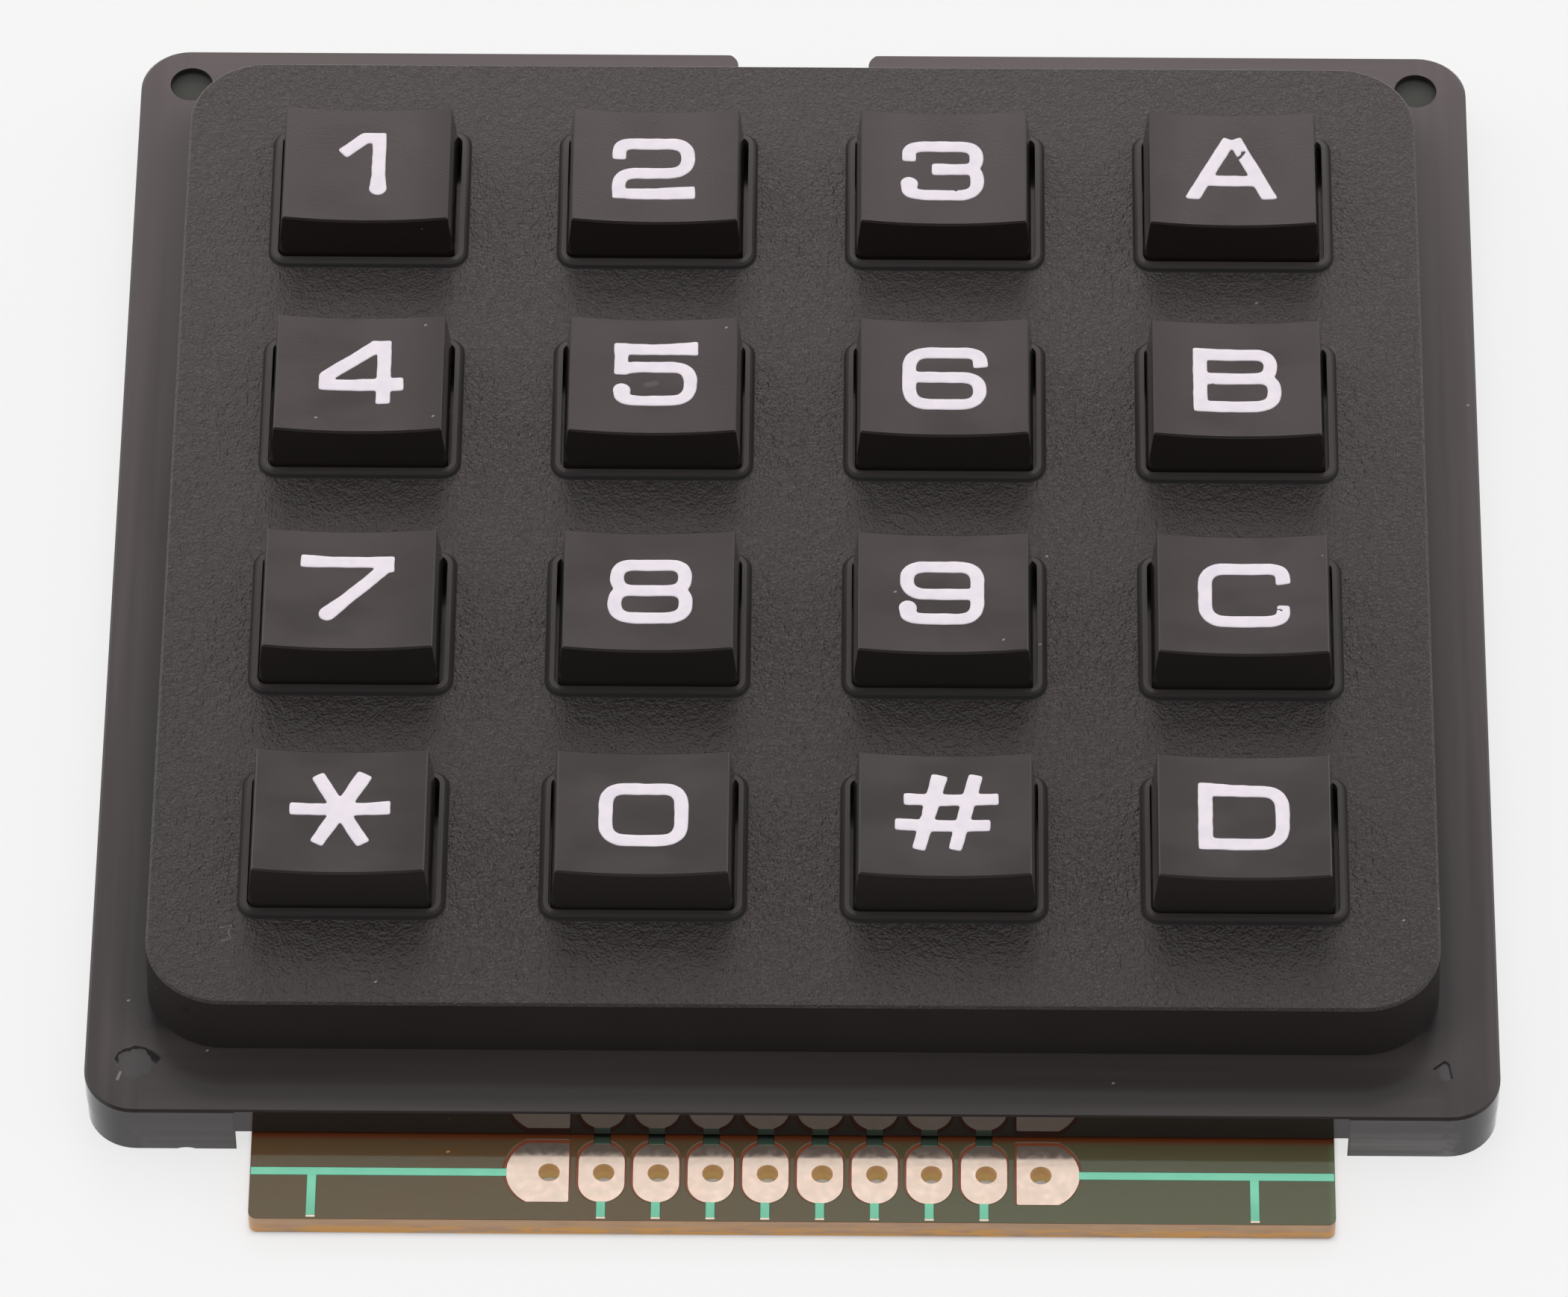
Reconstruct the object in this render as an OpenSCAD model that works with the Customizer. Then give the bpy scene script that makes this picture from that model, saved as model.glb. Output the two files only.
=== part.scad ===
// Sixteen-key matrix keypad: a moulded black housing with a raised key field, sixteen dished
// keycaps on a sheet of silicone domes, and a phenolic board whose tongue carries the pads.
// The origin is the centre of the four mounting holes, in the plane of the skirt's back rim.

/* [Key grid] */
// Distance between key centres, left to right
pitch_x = 14.08; // [13:0.02:17]
// Distance between key centres, front to rear
pitch_y = 13.03; // [12.2:0.01:15.7]

/* [Keycap] */
// Width of a keycap's top face
key_top_w = 8.04; // [7:0.02:9.8]
// Depth of a keycap's top face
key_top_d = 7.04; // [6:0.01:8.4]
// Height of a keycap's top corners above the raised field
key_rise = 2.9; // [2.3:0.1:3.5]
// How far the front and rear faces of a keycap lean out by the level of the collar
key_lean = 0.19; // [0.1:0.01:0.6]
// How far its left and right faces lean out
key_side_lean = 0.27; // [0.1:0.01:0.6]
// Radius of a keycap's upright corners
key_corner_r = 0.35; // [0.2:0.05:1]
// Depth of the dish along the middle of a keycap's top
dish_depth = 0.28; // [0.1:0.02:0.6]
// Width of the broken edge round a keycap's top
edge_break = 0.07; // [0.05:0.01:0.2]
// How far a key travels when it is pressed
travel = 1.15; // [0.9:0.05:1.2]
// Height of the lip that keeps a keycap in the housing
lip_h = 0.9; // [0.6:0.1:1.2]
// Width of that lip on each side of the keycap
lip_w = 0.95; // [0.8:0.05:1.1]
// Wall of the hollow keycap, at its sides and top
key_wall = 1.1; // [0.8:0.05:1.3]
// Thickness of the crossed ribs that press the dome
cross_t = 0.8; // [0.6:0.1:1.2]

/* [Raised field] */
// Height of the raised field above the flange
field_h = 3.5; // [3:0.1:4.2]
// Field left of the first key cell and right of the last
margin_x = 2.14; // [2.1:0.02:5]
// Field in front of the first key cell and behind the last
margin_y = 2.49; // [2.3:0.01:5]
// Radius of the raised field's corners, seen from above
field_r = 3.8; // [2:0.1:6]
// How far the field's side walls lean in from foot to top
field_lean = 0.1; // [0.05:0.01:0.2]
// Width of the broken edge round the top of the field
field_break = 0.12; // [0.06:0.02:0.3]
// Thickness of the housing under the field's top
ceiling_t = 1.3; // [1:0.1:1.6]
// Thickness of the field's side walls
field_wall = 1.2; // [1:0.1:1.5]

/* [Key openings] */
// Gap between a keycap and its opening, on each side
key_gap = 0.13; // [0.1:0.01:0.4]
// How far each key of the rear row lies to the right of its opening's middle, as shares of the gap
lie_1 = [-0.6, -0.6, -0.6, -0.6]; // [-0.6:0.1:0.6]
// The same in the second row
lie_2 = [-0.2, 0.2, -0.2, -0.4]; // [-0.6:0.1:0.6]
// The same in the third row
lie_3 = [-0.6, 0.3, -0.6, 0.4]; // [-0.6:0.1:0.6]
// The same in the front row
lie_4 = [-0.6, -0.2, 0.3, -0.6]; // [-0.6:0.1:0.6]
// Width of the flat crown of the collar round each opening
collar_w = 0.23; // [0.15:0.01:0.4]
// How far the collar's outer side slopes out from its crown down to the field
collar_slope = 0.25; // [0.1:0.05:0.4]
// Height of the collar above the field
collar_h = 0.28; // [0.2:0.02:0.4]
// Radius of an opening's corners
opening_r = 0.45; // [0.35:0.05:1]

/* [Flange and skirt] */
// Width of the flange at each side of the raised field
ledge_x = 2.7; // [2.5:0.1:6]
// Depth of the flange in front of and behind the raised field
ledge_y = 3.6; // [3:0.1:6]
// Radius of the flange's corners
flange_r = 2.4; // [1.5:0.1:3]
// Height of the flange's front face above the skirt's back rim
flange_z = 3.1; // [2.9:0.1:4]
// Thickness of the flange
flange_t = 1.66; // [1.3:0.02:1.8]
// Wall of the skirt round the board
skirt_t = 1.3; // [1:0.1:1.6]
// Width of the broken edge round the flange's face
flange_break = 0.12; // [0.05:0.01:0.3]
// Step at the mould's parting lines, below the flange and beside the tongue's slot
parting_step = 0.04; // [0.02:0.01:0.1]
// How far the flange's centre lies in front of the key grid's centre
flange_shift = 0.2; // [0:0.05:0.5]
// Width of the gate notch in the middle of the rear edge
notch_w = 6.5; // [5:0.1:9]
// Depth of the gate notch
notch_d = 0.9; // [0.6:0.05:1]
// Radius of the notch's rounded lips
notch_r = 0.8; // [0.5:0.05:1]
// Width of the small dent in the rim of the front left foot
dent_w = 0.85; // [0.4:0.05:1.5]
// Depth of that dent
dent_d = 0.1; // [0.05:0.05:0.2]

/* [Mounting holes] */
// Radius of the four mounting holes
hole_r = 1.05; // [0.9:0.05:1.3]
// Distance of a hole's centre from the flange's side edge
hole_inset_x = 2.5; // [2.4:0.1:3]
// Distance of a hole's centre from the flange's front or rear edge
hole_inset_y = 2.4; // [2.4:0.1:3]
// Thickness of the thin web that still closes each hole
web_t = 0.2; // [0.1:0.05:0.4]
// Depth of the web below the flange's face at the two rear holes
web_depth_rear = 0.45; // [0:0.05:0.8]
// Wall of the corner boss round each hole
boss_wall = 1.25; // [1:0.05:1.5]

/* [Board] */
// Thickness of the phenolic board
board_t = 1.1; // [1:0.05:1.2]
// Gap between the flange's underside and the board, which lies against the mat
board_drop = 0.22; // [0.1:0.02:0.3]
// Width of the board's tongue
tongue_w = 50.44; // [46:0.02:54]
// How far the tongue lies to the right of the housing's middle
tongue_shift = 0.05; // [-0.2:0.01:0.2]
// How far the tongue stands out in front of the flange
tongue_l = 4.7; // [4.4:0.05:8]
// Radius of the tongue's two front corners
tongue_r = 0.4; // [0.2:0.1:1]
// Gap between the tongue and each side of its notch in the skirt
tongue_gap = 0.7; // [0.3:0.1:1.5]
// Gap between the board's edge and the skirt or a corner boss
board_gap = 0.25; // [0.1:0.05:0.4]

/* [Pads] */
// Number of pads
pads = 10; // [4:1:12]
// Distance between pad centres
pad_pitch = 2.54; // [2:0.01:3]
// Distance of the row of pad holes from the tongue's front edge
pad_inset = 2.67; // [2.1:0.01:3]
// How far the row of holes lies to the right of the board's middle
pad_shift = 0.17; // [-0.5:0.01:0.5]
// Radius of a pad's hole
pad_hole_r = 0.5; // [0.4:0.05:0.6]
// Bare gap between neighbouring pads
pad_gap = 0.4; // [0.2:0.01:0.6]
// Length of a pad, front to rear
pad_l = 3.3; // [2.6:0.05:3.6]
// Radius of the round outer side of the first and last pads
end_pad_r = 1.9; // [1.7:0.05:2.2]
// Distance from the first pad's centre to its straight inner side
end_pad_side = 1.02; // [0.9:0.01:1.2]
// Thickness of the copper foil
foil_t = 0.035; // [0.02:0.005:0.07]
// How far the foil's pattern lies left of the drilled holes
foil_slip = 0.1; // [0:0.05:0.2]
// Width of the thin tracks that run to the board's edges
track_w = 0.42; // [0.3:0.02:0.7]
// Width of the tracks that run under the housing
signal_w = 0.75; // [0.5:0.05:1]
// Half the distance between the two side branches
branch_x = 21.9; // [19:0.1:24]
// How far the pair of branches lies to the left of the housing's middle
branch_shift = 0.38; // [0:0.01:0.5]
// How far the signal tracks run behind the row of holes
signal_l = 6; // [4:0.5:7]

/* [Dome mat] */
// Thickness of the mat's flat sheet
mat_t = 0.7; // [0.5:0.05:0.8]
// Radius of a dome at its foot
dome_r = 4.1; // [3.6:0.1:4.5]
// Radius of the solid plunger in the middle of a dome
plunger_r = 2.4; // [2.2:0.1:2.6]
// Thickness of a dome's thin wall
dome_wall = 0.38; // [0.3:0.02:0.45]
// Radius of the conductive pill under the plunger
pill_r = 1.75; // [1.4:0.05:1.9]
// Thickness of the pill
pill_t = 0.5; // [0.3:0.05:0.6]
// Gap between the pill and the contacts, beyond the key's travel
pill_clear = 0.05; // [0.03:0.01:0.1]
// Depth of the air channels under the mat
channel_h = 0.3; // [0.2:0.05:0.4]
// Width of the air channels
channel_w = 1.5; // [1:0.1:2]

/* [Stakes and ribs] */
// Radius of the posts that pass through the board
post_r = 0.9; // [0.7:0.05:1.1]
// Radius of a post's melted head behind the board
head_r = 1.6; // [1.3:0.1:1.8]
// Height of that head
head_h = 0.1; // [0.06:0.02:0.12]
// Thickness of the ribs between the key cells
rib_t = 1; // [0.8:0.1:1.3]

/* [Contacts] */
// Radius of the printed contact under each pill
contact_r = 2.1; // [1.8:0.1:2.4]
// Thickness of the printed carbon
print_t = 0.04; // [0.02:0.01:0.06]
// Width of a contact's fingers
finger_w = 0.32; // [0.2:0.02:0.36]
// Gap between fingers
finger_gap = 0.24; // [0.2:0.02:0.3]

/* [Fits] */
// Clearance between pieces that lie in or over one another
fit = 0.1; // [0.05:0.01:0.15]

/* [Hidden] */

// Rows run from the rear to the front, as the keys are read
KEYS = [
    ["1", "2", "3", "a"],
    ["4", "5", "6", "b"],
    ["7", "8", "9", "c"],
    ["star", "0", "hash", "d"]
];
GRID = 4;
LAST = GRID - 1;
cut = 1;
$fn = 64;

// Plan sizes
cells_w = GRID * pitch_x;
cells_d = GRID * pitch_y;
field_w = cells_w + 2 * margin_x;
field_d = cells_d + 2 * margin_y;
flange_w = field_w + 2 * ledge_x;
flange_d = field_d + 2 * ledge_y;
mid_y = -flange_shift;
front_y = mid_y - flange_d / 2;
rear_y = mid_y + flange_d / 2;
hole_x = flange_w / 2 - hole_inset_x;
hole_y = flange_d / 2 - hole_inset_y;
boss_half = hole_r + boss_wall;
slot_w = tongue_w + 2 * tongue_gap;

// Heights above the back rim
field_z = flange_z + field_h;
ceiling_z = field_z - ceiling_t;
under_z = flange_z - flange_t;
board_z = under_z - board_drop;
mat_z = board_z + mat_t;
key_top_z = field_z + key_rise;
collar_z = field_z + collar_h;
lip_top_z = ceiling_z - fit;
lip_z = lip_top_z - lip_h;
contact_z = board_z + print_t;
pill_z = contact_z + travel + pill_clear;
plunger_z = lip_z - fit;

// Keycap and opening
key_w = key_top_w + 2 * key_side_lean;
key_d = key_top_d + 2 * key_lean;
opening_w = key_w + 2 * key_gap;
opening_d = key_d + 2 * key_gap;
dish_r = (pow(key_top_w / 2, 2) + pow(dish_depth, 2)) / (2 * dish_depth);

// Cavity under the field
cavity_w = field_w - 2 * field_wall;
cavity_d = field_d - 2 * field_wall;
cavity_r = field_r - field_wall;

// Board
body_w = flange_w - 2 * (skirt_t + board_gap);
body_d = flange_d - 2 * (skirt_t + board_gap);
tongue_y = front_y - tongue_l;
pad_y = tongue_y + pad_inset;
pad_w = pad_pitch - pad_gap;

// Where the posts stand: at the crossings of the ribs, and against the field's walls
side_post_x = cavity_w / 2 - post_r + fit;
end_post_y = cavity_d / 2 - post_r + fit;
POSTS = concat(
    [for (i = [-1:1], j = [-1:1]) [i * pitch_x, j * pitch_y]],
    [for (i = [-1, 1], j = [-1, 1]) [i * side_post_x, j * pitch_y]],
    [for (i = [-1, 1], j = [-1, 1]) [i * pitch_x, mid_y + j * end_post_y]]
);
mat_w = 2 * (side_post_x - post_r - fit);
mat_d = 2 * (end_post_y - post_r - fit - flange_shift);

function key_x(col) = (col - LAST / 2) * pitch_x;
function key_y(row) = (LAST / 2 - row) * pitch_y;
function lie(col, row) = [lie_1, lie_2, lie_3, lie_4][row][col] * key_gap;
function pad_x(i) = pad_shift + (i - (pads - 1) / 2) * pad_pitch;

// Outlines

module rounded(w, d, r) {
    square([w - 2 * r, d], center = true);
    square([w, d - 2 * r], center = true);
    for (x = [-1, 1], y = [-1, 1])
        translate([x * (w / 2 - r), y * (d / 2 - r)]) circle(r);
}

module slab(w, d, r, z0, z1) {
    translate([0, 0, z0]) linear_extrude(z1 - z0) rounded(w, d, r);
}

// A block that leans in by `lean` on each side: cones at its corners, slopes between them
module leaning_slab(w, d, r, lean, z0, z1) {
    corner_x = w / 2 - r;
    corner_y = d / 2 - r;
    h = z1 - z0;
    translate([0, 0, z0]) {
        for (x = [-1, 1], y = [-1, 1])
            translate([x * corner_x, y * corner_y, 0]) cylinder(h = h, r1 = r, r2 = r - lean);
        rotate([90, 0, 0])
            linear_extrude(2 * corner_y, center = true) slope_profile(w, lean, h);
        rotate([90, 0, 90])
            linear_extrude(2 * corner_x, center = true) slope_profile(d, lean, h);
    }
}

module slope_profile(w, lean, h) {
    polygon([[-w / 2, 0], [w / 2, 0], [w / 2 - lean, h], [lean - w / 2, h]]);
}

module at_keys() {
    for (row = [0:LAST], col = [0:LAST]) translate([key_x(col), key_y(row), 0]) children();
}

// Housing

module housing() {
    color("#383332") difference() {
        union() {
            difference() {
                shell();
                hollow();
            }
            inside_ribs();
            at_keys() collar();
            posts();
        }
        at_keys() slab(opening_w, opening_d, opening_r, ceiling_z - cut, collar_z + cut);
        mounting_holes();
        gate_notch();
        foot_dent();
    }
}

module shell() {
    translate([0, mid_y, 0]) {
        slab(flange_w, flange_d, flange_r, under_z, flange_z - flange_break);
        leaning_slab(flange_w, flange_d, flange_r, flange_break, flange_z - flange_break, flange_z);
        slab(flange_w - 2 * parting_step, flange_d - 2 * parting_step,
             flange_r - parting_step, 0, under_z);
        leaning_slab(field_w, field_d, field_r, field_lean, flange_z, field_z - field_break);
        leaning_slab(field_w - 2 * field_lean, field_d - 2 * field_lean, field_r - field_lean,
                     field_break, field_z - field_break, field_z);
    }
}

// The cavity for mat and keys, the pocket for the board, and the slot for its tongue
module hollow() {
    inner_r = flange_r - skirt_t;
    translate([0, mid_y, 0]) slab(cavity_w, cavity_d, cavity_r, under_z - cut, ceiling_z);
    difference() {
        translate([0, mid_y, 0])
            slab(flange_w - 2 * skirt_t, flange_d - 2 * skirt_t, inner_r, -cut, under_z);
        translate([0, 0, -2 * cut]) linear_extrude(under_z + 3 * cut) boss_outline(0);
    }
    translate([-slot_w / 2, front_y - cut, -cut]) cube([slot_w, skirt_t + 2 * cut, under_z + cut]);
    translate([-slot_w / 2, front_y - cut, 0]) cube([slot_w, cut + parting_step, flange_z + cut]);
}

// A collar with a flat crown; its sloping sides run on below the field's face
module collar() {
    reach = collar_w + 2 * collar_slope;
    leaning_slab(opening_w + 2 * reach, opening_d + 2 * reach, opening_r + reach, 2 * collar_slope,
                 field_z - collar_h, collar_z);
}

// Outline of the corner bosses that hold the mounting holes, grown by `gap`
module boss_outline(gap) {
    reach = skirt_t + boss_half + cut;
    for (x = [-1, 1], y = [-1, 1])
        translate([x * (hole_x - boss_half - gap + reach), y * (hole_y - boss_half - gap + reach)])
            square(2 * reach, center = true);
}

// Ribs between the key cells press the mat's sheet on the board
module inside_ribs() {
    for (i = [-1:1]) {
        translate([i * pitch_x - rib_t / 2, mid_y - cavity_d / 2 - field_wall / 2, mat_z])
            cube([rib_t, cavity_d + field_wall, ceiling_z - mat_z + ceiling_t / 2]);
        translate([-cavity_w / 2 - field_wall / 2, i * pitch_y - rib_t / 2, mat_z])
            cube([cavity_w + field_wall, rib_t, ceiling_z - mat_z + ceiling_t / 2]);
    }
}

module posts() {
    board_back = board_z - board_t;
    for (p = POSTS) translate([p[0], p[1], 0]) {
        translate([0, 0, board_back - head_h / 2])
            cylinder(h = ceiling_z + ceiling_t / 2 - board_back + head_h / 2, r = post_r);
        // the melted head: a low dome with a flat crown
        translate([0, 0, board_back]) rotate_extrude()
            polygon([[0, 0], [head_r, 0], [head_r * 0.92, -head_h * 0.6], [head_r * 0.6, -head_h],
                     [0, -head_h]]);
    }
}

// The webs of the two front holes lie level with the flange's face
module mounting_holes() {
    for (x = [-1, 1]) {
        hole(x * hole_x, hole_y, web_depth_rear);
        hole(x * hole_x, -hole_y, 0);
    }
}

// One mounting hole from behind, up to its web, and the open part in front of the web
module hole(x, y, web_depth) {
    translate([x, y, -cut]) cylinder(h = cut + flange_z - web_depth - web_t, r = hole_r);
    if (web_depth > 0)
        translate([x, y, flange_z - web_depth]) cylinder(h = web_depth + cut, r = hole_r);
}

// A shallow scoop in the rim of the front left foot
module foot_dent() {
    dent_r = (pow(dent_w / 2, 2) + pow(dent_d, 2)) / (2 * dent_d);
    translate([(-flange_w / 2 + flange_r - slot_w / 2) / 2, front_y, dent_d - dent_r])
        rotate([90, 0, 0]) cylinder(h = 2 * skirt_t, r = dent_r, center = true);
}

// The gate notch, with rounded lips where it meets the rear edge
module gate_notch() {
    translate([0, rear_y, -cut]) linear_extrude(flange_z + 2 * cut) {
        translate([-notch_w / 2, -notch_d]) square([notch_w, notch_d + cut]);
        for (x = [-1, 1]) difference() {
            translate([x * notch_w / 2 - notch_r, -notch_r]) square([2 * notch_r, notch_r + cut]);
            translate([x * (notch_w / 2 + notch_r), -notch_r]) circle(notch_r);
            translate([x * (notch_w / 2 + notch_r + cut) - cut, -notch_r - cut / 2])
                square([2 * cut, 2 * cut + 2 * notch_r]);
        }
    }
}

// Board

module board() {
    color("#5c5540") difference() {
        translate([0, 0, board_z - board_t]) linear_extrude(board_t) board_outline();
        for (p = POSTS) translate([p[0], p[1], 0]) cylinder(h = board_z + cut, r = post_r + fit);
        for (i = [0:pads - 1]) translate([pad_x(i), pad_y, 0])
            cylinder(h = board_z + cut, r = pad_hole_r);
    }
}

module board_outline() {
    root_y = front_y + skirt_t + cut;
    difference() {
        translate([0, mid_y]) square([body_w, body_d], center = true);
        boss_outline(board_gap);
    }
    translate([tongue_shift, tongue_y + tongue_r]) {
        translate([-tongue_w / 2, 0]) square([tongue_w, root_y - tongue_y - tongue_r]);
        translate([tongue_r - tongue_w / 2, -tongue_r]) square([tongue_w - 2 * tongue_r, 2 * tongue_r]);
        for (x = [-1, 1]) translate([x * (tongue_w / 2 - tongue_r), 0]) circle(tongue_r);
    }
}

// Copper foil: ten pads, the tracks to the board's edges, and those that run under the housing

module copper_foil() {
    color("#e0b49a") translate([-foil_slip, 0, board_z]) linear_extrude(foil_t) difference() {
        foil_outline();
        for (i = [0:pads - 1]) translate([pad_x(i) + foil_slip, pad_y]) circle(pad_hole_r);
    }
}

module foil_outline() {
    edge = fit;
    for (i = [1:pads - 2]) translate([pad_x(i), pad_y]) {
        stadium(pad_w, pad_l);
        translate([-signal_w / 2, 0]) square([signal_w, signal_l]);
        translate([-track_w / 2, edge - pad_inset]) square([track_w, pad_inset]);
    }
    for (x = [-1, 1]) {
        first = x < 0 ? pad_x(0) : pad_x(pads - 1);
        last = tongue_shift + foil_slip + x * (tongue_w / 2 - edge);
        branch = foil_slip - branch_shift + x * branch_x;
        translate([first, pad_y]) end_pad(x);
        translate([min(first, last), pad_y - track_w / 2]) square([abs(last - first), track_w]);
        translate([branch - track_w / 2, tongue_y + edge]) square([track_w, pad_inset]);
    }
}

module stadium(w, l) {
    square([w, l - w], center = true);
    for (y = [-1, 1]) translate([0, y * (l - w) / 2]) circle(w / 2);
}

// The first and last pads are round on the outside and straight on the inside
module end_pad(side) {
    intersection() {
        circle(end_pad_r);
        translate([side * (end_pad_r - end_pad_side) - end_pad_r, -pad_l / 2])
            square([2 * end_pad_r, pad_l]);
    }
}

// Contacts: two interlocking carbon combs under each pill

module contact_print() {
    color("#26221f") translate([0, 0, board_z]) at_keys() linear_extrude(print_t) {
        comb([-2, 0, 2]);
        mirror([1, 0]) comb([-1, 1]);
    }
}

// The left comb: a half ring with fingers in `rows`, clear of the other comb's ring
module comb(rows) {
    ring_in = contact_r - finger_w;
    step = finger_w + finger_gap;
    difference() {
        intersection() {
            circle(contact_r);
            union() {
                difference() {
                    translate([-contact_r, -contact_r]) square(2 * contact_r);
                    circle(ring_in);
                }
                for (r = rows)
                    translate([-contact_r, r * step - finger_w / 2]) square([2 * contact_r, finger_w]);
            }
        }
        difference() {
            translate([-finger_gap / 2, -contact_r]) square(2 * contact_r);
            circle(ring_in - finger_gap);
        }
    }
}

// Dome mat

module dome_mat() {
    foot_r = dome_r - dome_wall;
    color("#9b8d7c") translate([0, 0, board_z]) {
        difference() {
            linear_extrude(mat_t) square([mat_w, mat_d], center = true);
            for (p = POSTS) translate([p[0], p[1], -cut]) cylinder(h = mat_t + 2 * cut, r = post_r + fit);
            at_keys() translate([0, 0, -cut]) cylinder(h = mat_t + 2 * cut, r = foot_r);
            for (row = [0:LAST]) translate([-cells_w / 2 + dome_r, key_y(row) - channel_w / 2, -cut])
                cube([cells_w - 2 * dome_r, channel_w, channel_h + cut]);
        }
        at_keys() rotate_extrude() dome_profile(foot_r);
    }
}

// Half section of one dome: foot ring, thin cone, solid plunger, and the pill's recess
module dome_profile(foot_r) {
    pill_bottom = pill_z - board_z;
    recess = pill_bottom + pill_t + fit / 4;
    top = plunger_z - board_z;
    knee = recess + fit;
    polygon([
        [foot_r, channel_h + fit], [dome_r + fit, channel_h + fit], [dome_r + fit, mat_t],
        [dome_r, mat_t], [plunger_r, knee], [plunger_r, top], [0, top], [0, recess],
        [pill_r + fit / 2, recess], [pill_r + fit / 2, pill_bottom], [plunger_r - fit, pill_bottom],
        [foot_r, mat_t - dome_wall]
    ]);
}

module pill(col, row) {
    color("#1d1c1c") translate([key_x(col), key_y(row), pill_z]) cylinder(h = pill_t, r = pill_r);
}

// Keycap

module key(col, row) {
    color("#35302e") translate([key_x(col) + lie(col, row), key_y(row), 0]) difference() {
        union() {
            intersection() {
                rotate([90, 0, 0]) linear_extrude(key_d + 2 * cut, center = true)
                    key_profile(key_top_w, key_w);
                rotate([90, 0, 90]) linear_extrude(key_w + 2 * cut, center = true)
                    key_profile(key_top_d, key_d);
                slab(key_w, key_d, key_corner_r, lip_z, key_top_z + cut);
            }
            slab(key_w + 2 * lip_w, key_d + 2 * lip_w, key_corner_r, lip_z, lip_top_z);
        }
        dish();
        hollow_cells();
    }
}

// Section of a keycap: upright to the collar, then leaning in, with its top edges broken
module key_profile(top_w, base_w) {
    rise = key_top_z - collar_z;
    at_break = top_w / 2 + (base_w - top_w) / 2 * edge_break / rise;
    polygon([
        [-base_w / 2, lip_z], [base_w / 2, lip_z], [base_w / 2, collar_z],
        [at_break, key_top_z - edge_break], [top_w / 2 - edge_break, key_top_z],
        [edge_break - top_w / 2, key_top_z], [-at_break, key_top_z - edge_break],
        [-base_w / 2, collar_z]
    ]);
}

// The dish is a drum lying front to rear, flared at both ends to break the curved edges
module dish() {
    inner = key_top_d / 2 - edge_break;
    outer = inner + edge_break + cut;
    flare = dish_r + edge_break + cut;
    translate([0, 0, key_top_z - dish_depth + dish_r]) rotate([90, 0, 0]) rotate_extrude($fn = 96)
        polygon([[0, -outer], [flare, -outer], [dish_r, -inner], [dish_r, inner], [flare, outer],
                 [0, outer]]);
}

// Four pockets leave the walls and the crossed ribs that press the dome
module hollow_cells() {
    cell_w = (key_top_w - cross_t) / 2 - key_wall;
    cell_d = (key_top_d - cross_t) / 2 - key_wall;
    for (x = [-1, 1], y = [-1, 1])
        translate([x * (cross_t + cell_w) / 2 - cell_w / 2, y * (cross_t + cell_d) / 2 - cell_d / 2,
                   lip_z - cut])
            cube([cell_w, cell_d, key_top_z - dish_depth - key_wall - lip_z + cut]);
}

housing();
board();
copper_foil();
contact_print();
dome_mat();
for (row = [0:LAST], col = [0:LAST]) {
    key(col, row);
    pill(col, row);
}
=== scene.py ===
# %% [markdown]
# A sixteen-key matrix keypad, finished around its CAD frame.
#
# The real thing is a black moulded housing with dished keycaps, a phenolic paper board that looks
# out in front, and white printed legends. The CAD model already holds the moulded shapes. This
# lesson adds what is too thin for CAD, which is ink and lacquer, gives every surface its finish,
# and cuts the rubber mat into tiles.

# %% Load the frame
import math

import bmesh
import bpy
import numpy as np
from mathutils import Matrix, Vector


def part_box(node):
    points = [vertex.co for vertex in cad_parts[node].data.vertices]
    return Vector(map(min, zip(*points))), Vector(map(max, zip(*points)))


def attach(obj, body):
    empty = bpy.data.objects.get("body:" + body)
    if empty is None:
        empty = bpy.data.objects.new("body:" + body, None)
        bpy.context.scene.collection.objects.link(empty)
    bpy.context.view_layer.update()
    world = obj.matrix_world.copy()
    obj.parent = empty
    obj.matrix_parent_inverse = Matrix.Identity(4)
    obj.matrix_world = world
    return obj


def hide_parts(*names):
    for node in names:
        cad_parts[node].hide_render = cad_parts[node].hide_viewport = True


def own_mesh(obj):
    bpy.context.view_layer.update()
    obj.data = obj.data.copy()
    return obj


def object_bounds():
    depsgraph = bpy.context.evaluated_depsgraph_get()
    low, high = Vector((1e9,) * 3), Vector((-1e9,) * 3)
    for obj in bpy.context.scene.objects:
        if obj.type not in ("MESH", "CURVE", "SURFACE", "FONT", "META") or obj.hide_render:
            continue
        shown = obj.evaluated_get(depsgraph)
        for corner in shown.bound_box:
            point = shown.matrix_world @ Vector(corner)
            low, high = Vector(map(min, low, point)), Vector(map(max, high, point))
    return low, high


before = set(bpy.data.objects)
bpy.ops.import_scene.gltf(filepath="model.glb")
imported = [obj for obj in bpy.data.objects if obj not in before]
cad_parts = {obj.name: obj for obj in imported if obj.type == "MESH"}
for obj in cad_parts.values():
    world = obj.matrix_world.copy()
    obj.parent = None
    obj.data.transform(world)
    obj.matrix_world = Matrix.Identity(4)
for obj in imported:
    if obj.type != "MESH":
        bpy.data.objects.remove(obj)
cad_low, cad_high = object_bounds()
MM = 0.001
print("CAD box in mm:", [round(v / MM, 2) for v in (*cad_low, *cad_high)])

# %% [markdown]
# Everything that lies on the CAD pieces takes its place from their boxes. A key's centre is the
# middle of its node, the height of its corners is the top of that node, and the board's upper face
# is the top of the board node. What a box can't tell, such as the depth of the dish, is named
# here.

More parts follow.
